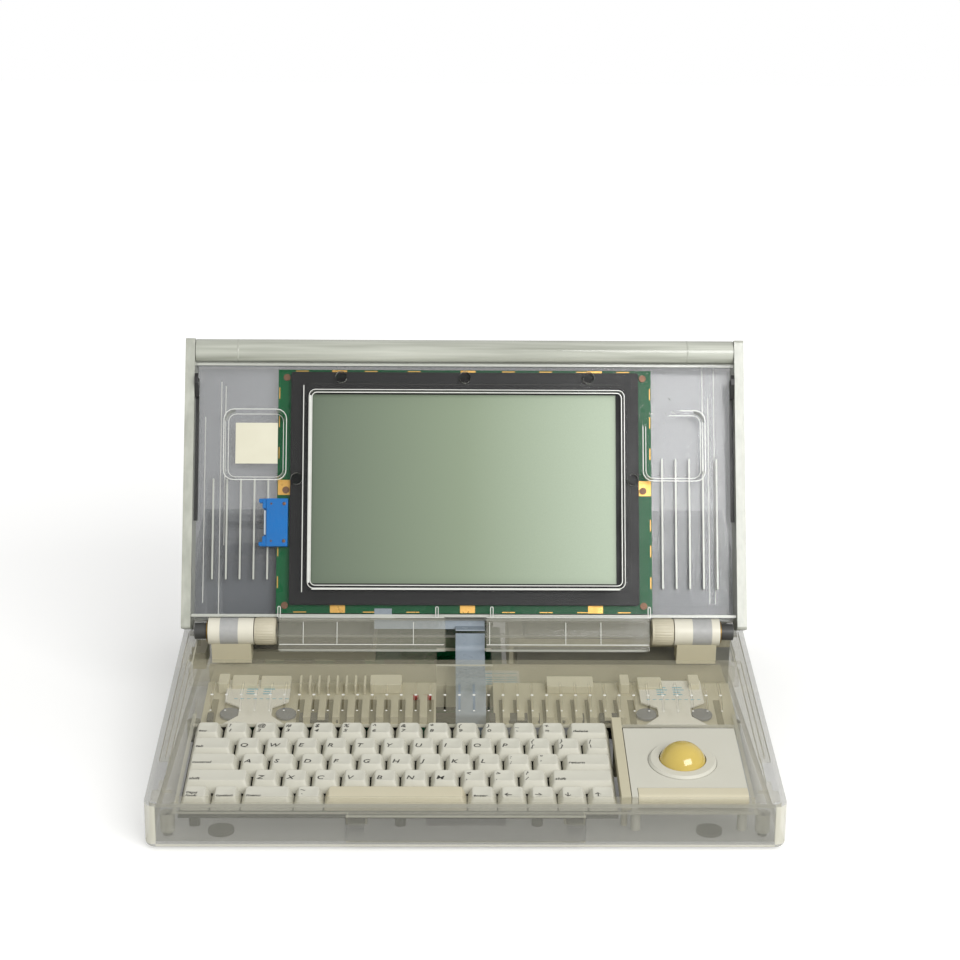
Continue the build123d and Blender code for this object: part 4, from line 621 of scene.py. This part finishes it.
# Gold-plated pads at the board's edge, where the sheet frame's tongues are soldered, two of
# them round a screw, and thin gold marks along its border.
gold_pad = finish("gold_plated_pad", ("#e0b260", "#cc9c4c"), 4, (0.25, 0.4),
                  shader={"Metallic": 0.6})
pads = []
for low, high in ((-92.7, -82.3), (-3.0, 7.4), (85.5, 95.8)):
    pads.append(slab(on_lid, (low, high), (13.0, 18.2), (-7.5, -7.2)))
    pads.append(slab(on_lid, (low, high), (180.4, 182.3), (-7.5, -7.2)))
for low, high in ((-129.6, -121.0), (121.0, 129.6)):
    pads.append(slab(on_lid, (low, high), (94.6, 105.1), (-7.5, -7.35)))
for x in (-118, -70, -40, 26, 52, 78, 106):
    pads.append(slab(on_lid, (x, x + 9), (13.2, 13.8), (-7.5, -7.35), 0.2))
    pads.append(slab(on_lid, (x, x + 9), (181.3, 181.9), (-7.5, -7.35), 0.2))
for u in (30, 52, 70, 120, 142, 162):
    for x in (-129.4, 128.8):
        pads.append(slab(on_lid, (x, x + 0.6), (u, u + 8), (-7.5, -7.35), 0.2))
piece("display_board_pads", pads, gold_pad, "lid")

# The ribbon connector on the board: a blue block with a locking arm at either end, a pale
# slot for the ribbon between them, and two bronze screws.
blue_plastic = finish("blue_connector_plastic", ("#006db8", "#0062a8"), 10, (0.3, 0.4),
                      shader={"Specular IOR Level": 0.3})
socket = [slab(on_lid, (-136.8, -122), (58.3, 91.5), (-7.4, -0.5), 0.6),
          slab(on_lid, (-138.6, -136.8), (58.3, 91.5), (-7.4, -4), 0.4)]
for low in (58.4, 84.5):
    socket.append(slab(on_lid, (-139.5, -136.8), (low, low + 6.9), (-7.4, -1), 0.6))
    socket.append(slab(on_lid, (-142, -139), (low + (0.1 if low < 70 else 4.0), low + (
        3.0 if low < 70 else 6.9)), (-7.4, -1.5), 0.8))
piece("display_connector", socket, blue_plastic, "lid", ["lcd_connector"], 0.3)
piece("display_connector_slot", [slab(on_lid, (-138.4, -137.2), (66.5, 83.3), (-4, -2.6), 0.3)],
      finish("pale_slot_plastic", ("#d7dfe4", "#c7d0d6"), 5, (0.4, 0.5)), "lid")
studs = [turned(lambda a, b, c, u=u, x=x: on_lid(x + a, u + b, c),
                ((-0.6, radius), (-0.3, radius), (-0.2, radius * 0.8)), ridges=6)
         for x, radius in ((-124.6, 1.2), (-133.4, 0.7)) for u in (62.0, 87.8)]
# Translucent film over copper, bluish grey.
ribbon_film = finish("ribbon_film", ("#a9b4bd", "#98a3ad"), 12, (0.2, 0.35),
                     shader={"Alpha": 0.8})
dress(["base_flex_cable", "lid_flex_cable"], ribbon_film)
dress(["lid_label"], finish("blank_paper", ("#dedbc6", "#d5d1bb"), 15, (0.6, 0.75)))


# Old bronze, almost brown.
bronze = finish("dark_bronze", ("#7a5b46", "#5f4838"), 3, (0.35, 0.5), shader={"Metallic": 0.7})
piece("display_connector_screws", studs, bronze, "lid")


# ---- Metal and rubber inside ----
# Turned steel shafts and screws, the drives' folded sheet cases and soft black feet.

# Bright zinc plate.
bright_steel = finish("zinc_plated_steel", ("#b4b5b2", "#a4a5a2"), 5, (0.25, 0.4),
                      shader={"Metallic": 1.0})
# Grained aluminium, darker where it is handled.
drive_metal = finish("drive_sheet_metal", ("#9a9b98", "#8b8c89"), 30, (0.35, 0.5),
                     shader={"Metallic": 0.9})
# Moulded rubber, dull.
rubber = finish("black_rubber", ("#2a2a29", "#222221"), 10, (0.7, 0.85))
dress(["hinge_shafts", "case_screws", "trackball_roller", "port_panel"], bright_steel)
dress(["lid_screws"], bronze)
dress(["hard_drive", "floppy_drive"], drive_metal)
dress(["speaker", "battery_pack", "feet"], rubber)


# ---- Studio ----
# A pale floor that runs to a white background, one large soft light from the front
# right and an even sky, and the camera where the photograph was taken from.

floor_mesh = bpy.data.meshes.new("floor")
floor_mesh.from_pydata([(-4, -4, 0), (4, -4, 0), (4, 4, 0), (-4, 4, 0)], [], [(0, 1, 2, 3)])
floor = bpy.data.objects.new("floor", floor_mesh)
bpy.context.scene.collection.objects.link(floor)
# Matt white paper, lifted for the camera alone so that it runs into the white behind it.
pale_floor = finish("pale_floor", ("#f4f4f2", "#f1f1ef"), 400, (0.7, 0.8))
tree = pale_floor.node_tree
lit = tree.nodes["Principled BSDF"]
where = add_node(tree, "ShaderNodeTexCoord").outputs["Object"]
distance = add_node(tree, "ShaderNodeSeparateXYZ", {"Vector": where})
away = add_node(tree, "ShaderNodeMath", {0: distance.outputs["Y"]}, operation="ABSOLUTE")
more = add_node(tree, "ShaderNodeMapRange", {"Value": away.outputs[0], "From Min": 0.0,
                "From Max": 1.8, "To Min": 0.24, "To Max": 0.62})
lift = add_node(tree, "ShaderNodeEmission", {"Strength": more.outputs[0]})
eye = add_node(tree, "ShaderNodeLightPath")
glow = add_node(tree, "ShaderNodeMixShader", {0: eye.outputs["Is Camera Ray"]})
tree.links.new(lift.outputs[0], glow.inputs[2])
dark = add_node(tree, "ShaderNodeEmission", {"Strength": 0.0})
tree.links.new(dark.outputs[0], glow.inputs[1])
paper = add_node(tree, "ShaderNodeAddShader", {0: lit.outputs[0], 1: glow.outputs[0]})
tree.links.new(paper.outputs[0], tree.nodes["Material Output"].inputs[0])
floor_mesh.materials.append(pale_floor)

world = bpy.data.worlds.new("studio")
bpy.context.scene.world = world
world.use_nodes = True
tree = world.node_tree
tree.nodes.clear()
rays = add_node(tree, "ShaderNodeLightPath")
sky = add_node(tree, "ShaderNodeBackground", {"Color": (1, 1, 1, 1), "Strength": 0.62})
white = add_node(tree, "ShaderNodeBackground", {"Color": (1, 1, 1, 1), "Strength": 1.0})
seen = add_node(tree, "ShaderNodeMixShader", {0: rays.outputs["Is Camera Ray"], 1: sky.outputs[0],
                2: white.outputs[0]})
add_node(tree, "ShaderNodeOutputWorld", {"Surface": seen.outputs[0]})

softbox = bpy.data.lights.new("softbox", "AREA")
softbox.shape = "RECTANGLE"
softbox.size = 1.4
softbox.size_y = 1.0
softbox.energy = 34
lamp = bpy.data.objects.new("softbox", softbox)
bpy.context.scene.collection.objects.link(lamp)
lamp.location = (0.9, -1.7, 1.25)
lamp.rotation_euler = (Vector((0, 0, 0.1)) - lamp.location).to_track_quat("-Z", "Y").to_euler()

yaw, roll, down = math.radians(0.904), math.radians(0.466), math.radians(17.0)
forward = Vector((math.sin(yaw) * math.cos(down), math.cos(yaw) * math.cos(down), -math.sin(down)))
level = Vector((math.cos(yaw), -math.sin(yaw), 0))
upright = level.cross(forward)
right = level * math.cos(roll) + upright * math.sin(roll)
up = upright * math.cos(roll) - level * math.sin(roll)
lens = bpy.data.cameras.new("camera")
lens.sensor_width = 36
lens.lens = 78.08
camera = bpy.data.objects.new("camera", lens)
bpy.context.scene.collection.objects.link(camera)
turn = Matrix((right, up, -forward)).transposed().to_4x4()
camera.matrix_world = Matrix.Translation((-0.01118, -1.31131, 0.58132)) @ turn
bpy.context.scene.camera = camera
bpy.context.scene.view_settings.view_transform = "Standard"
bpy.context.scene.cycles.transparent_max_bounces = 32
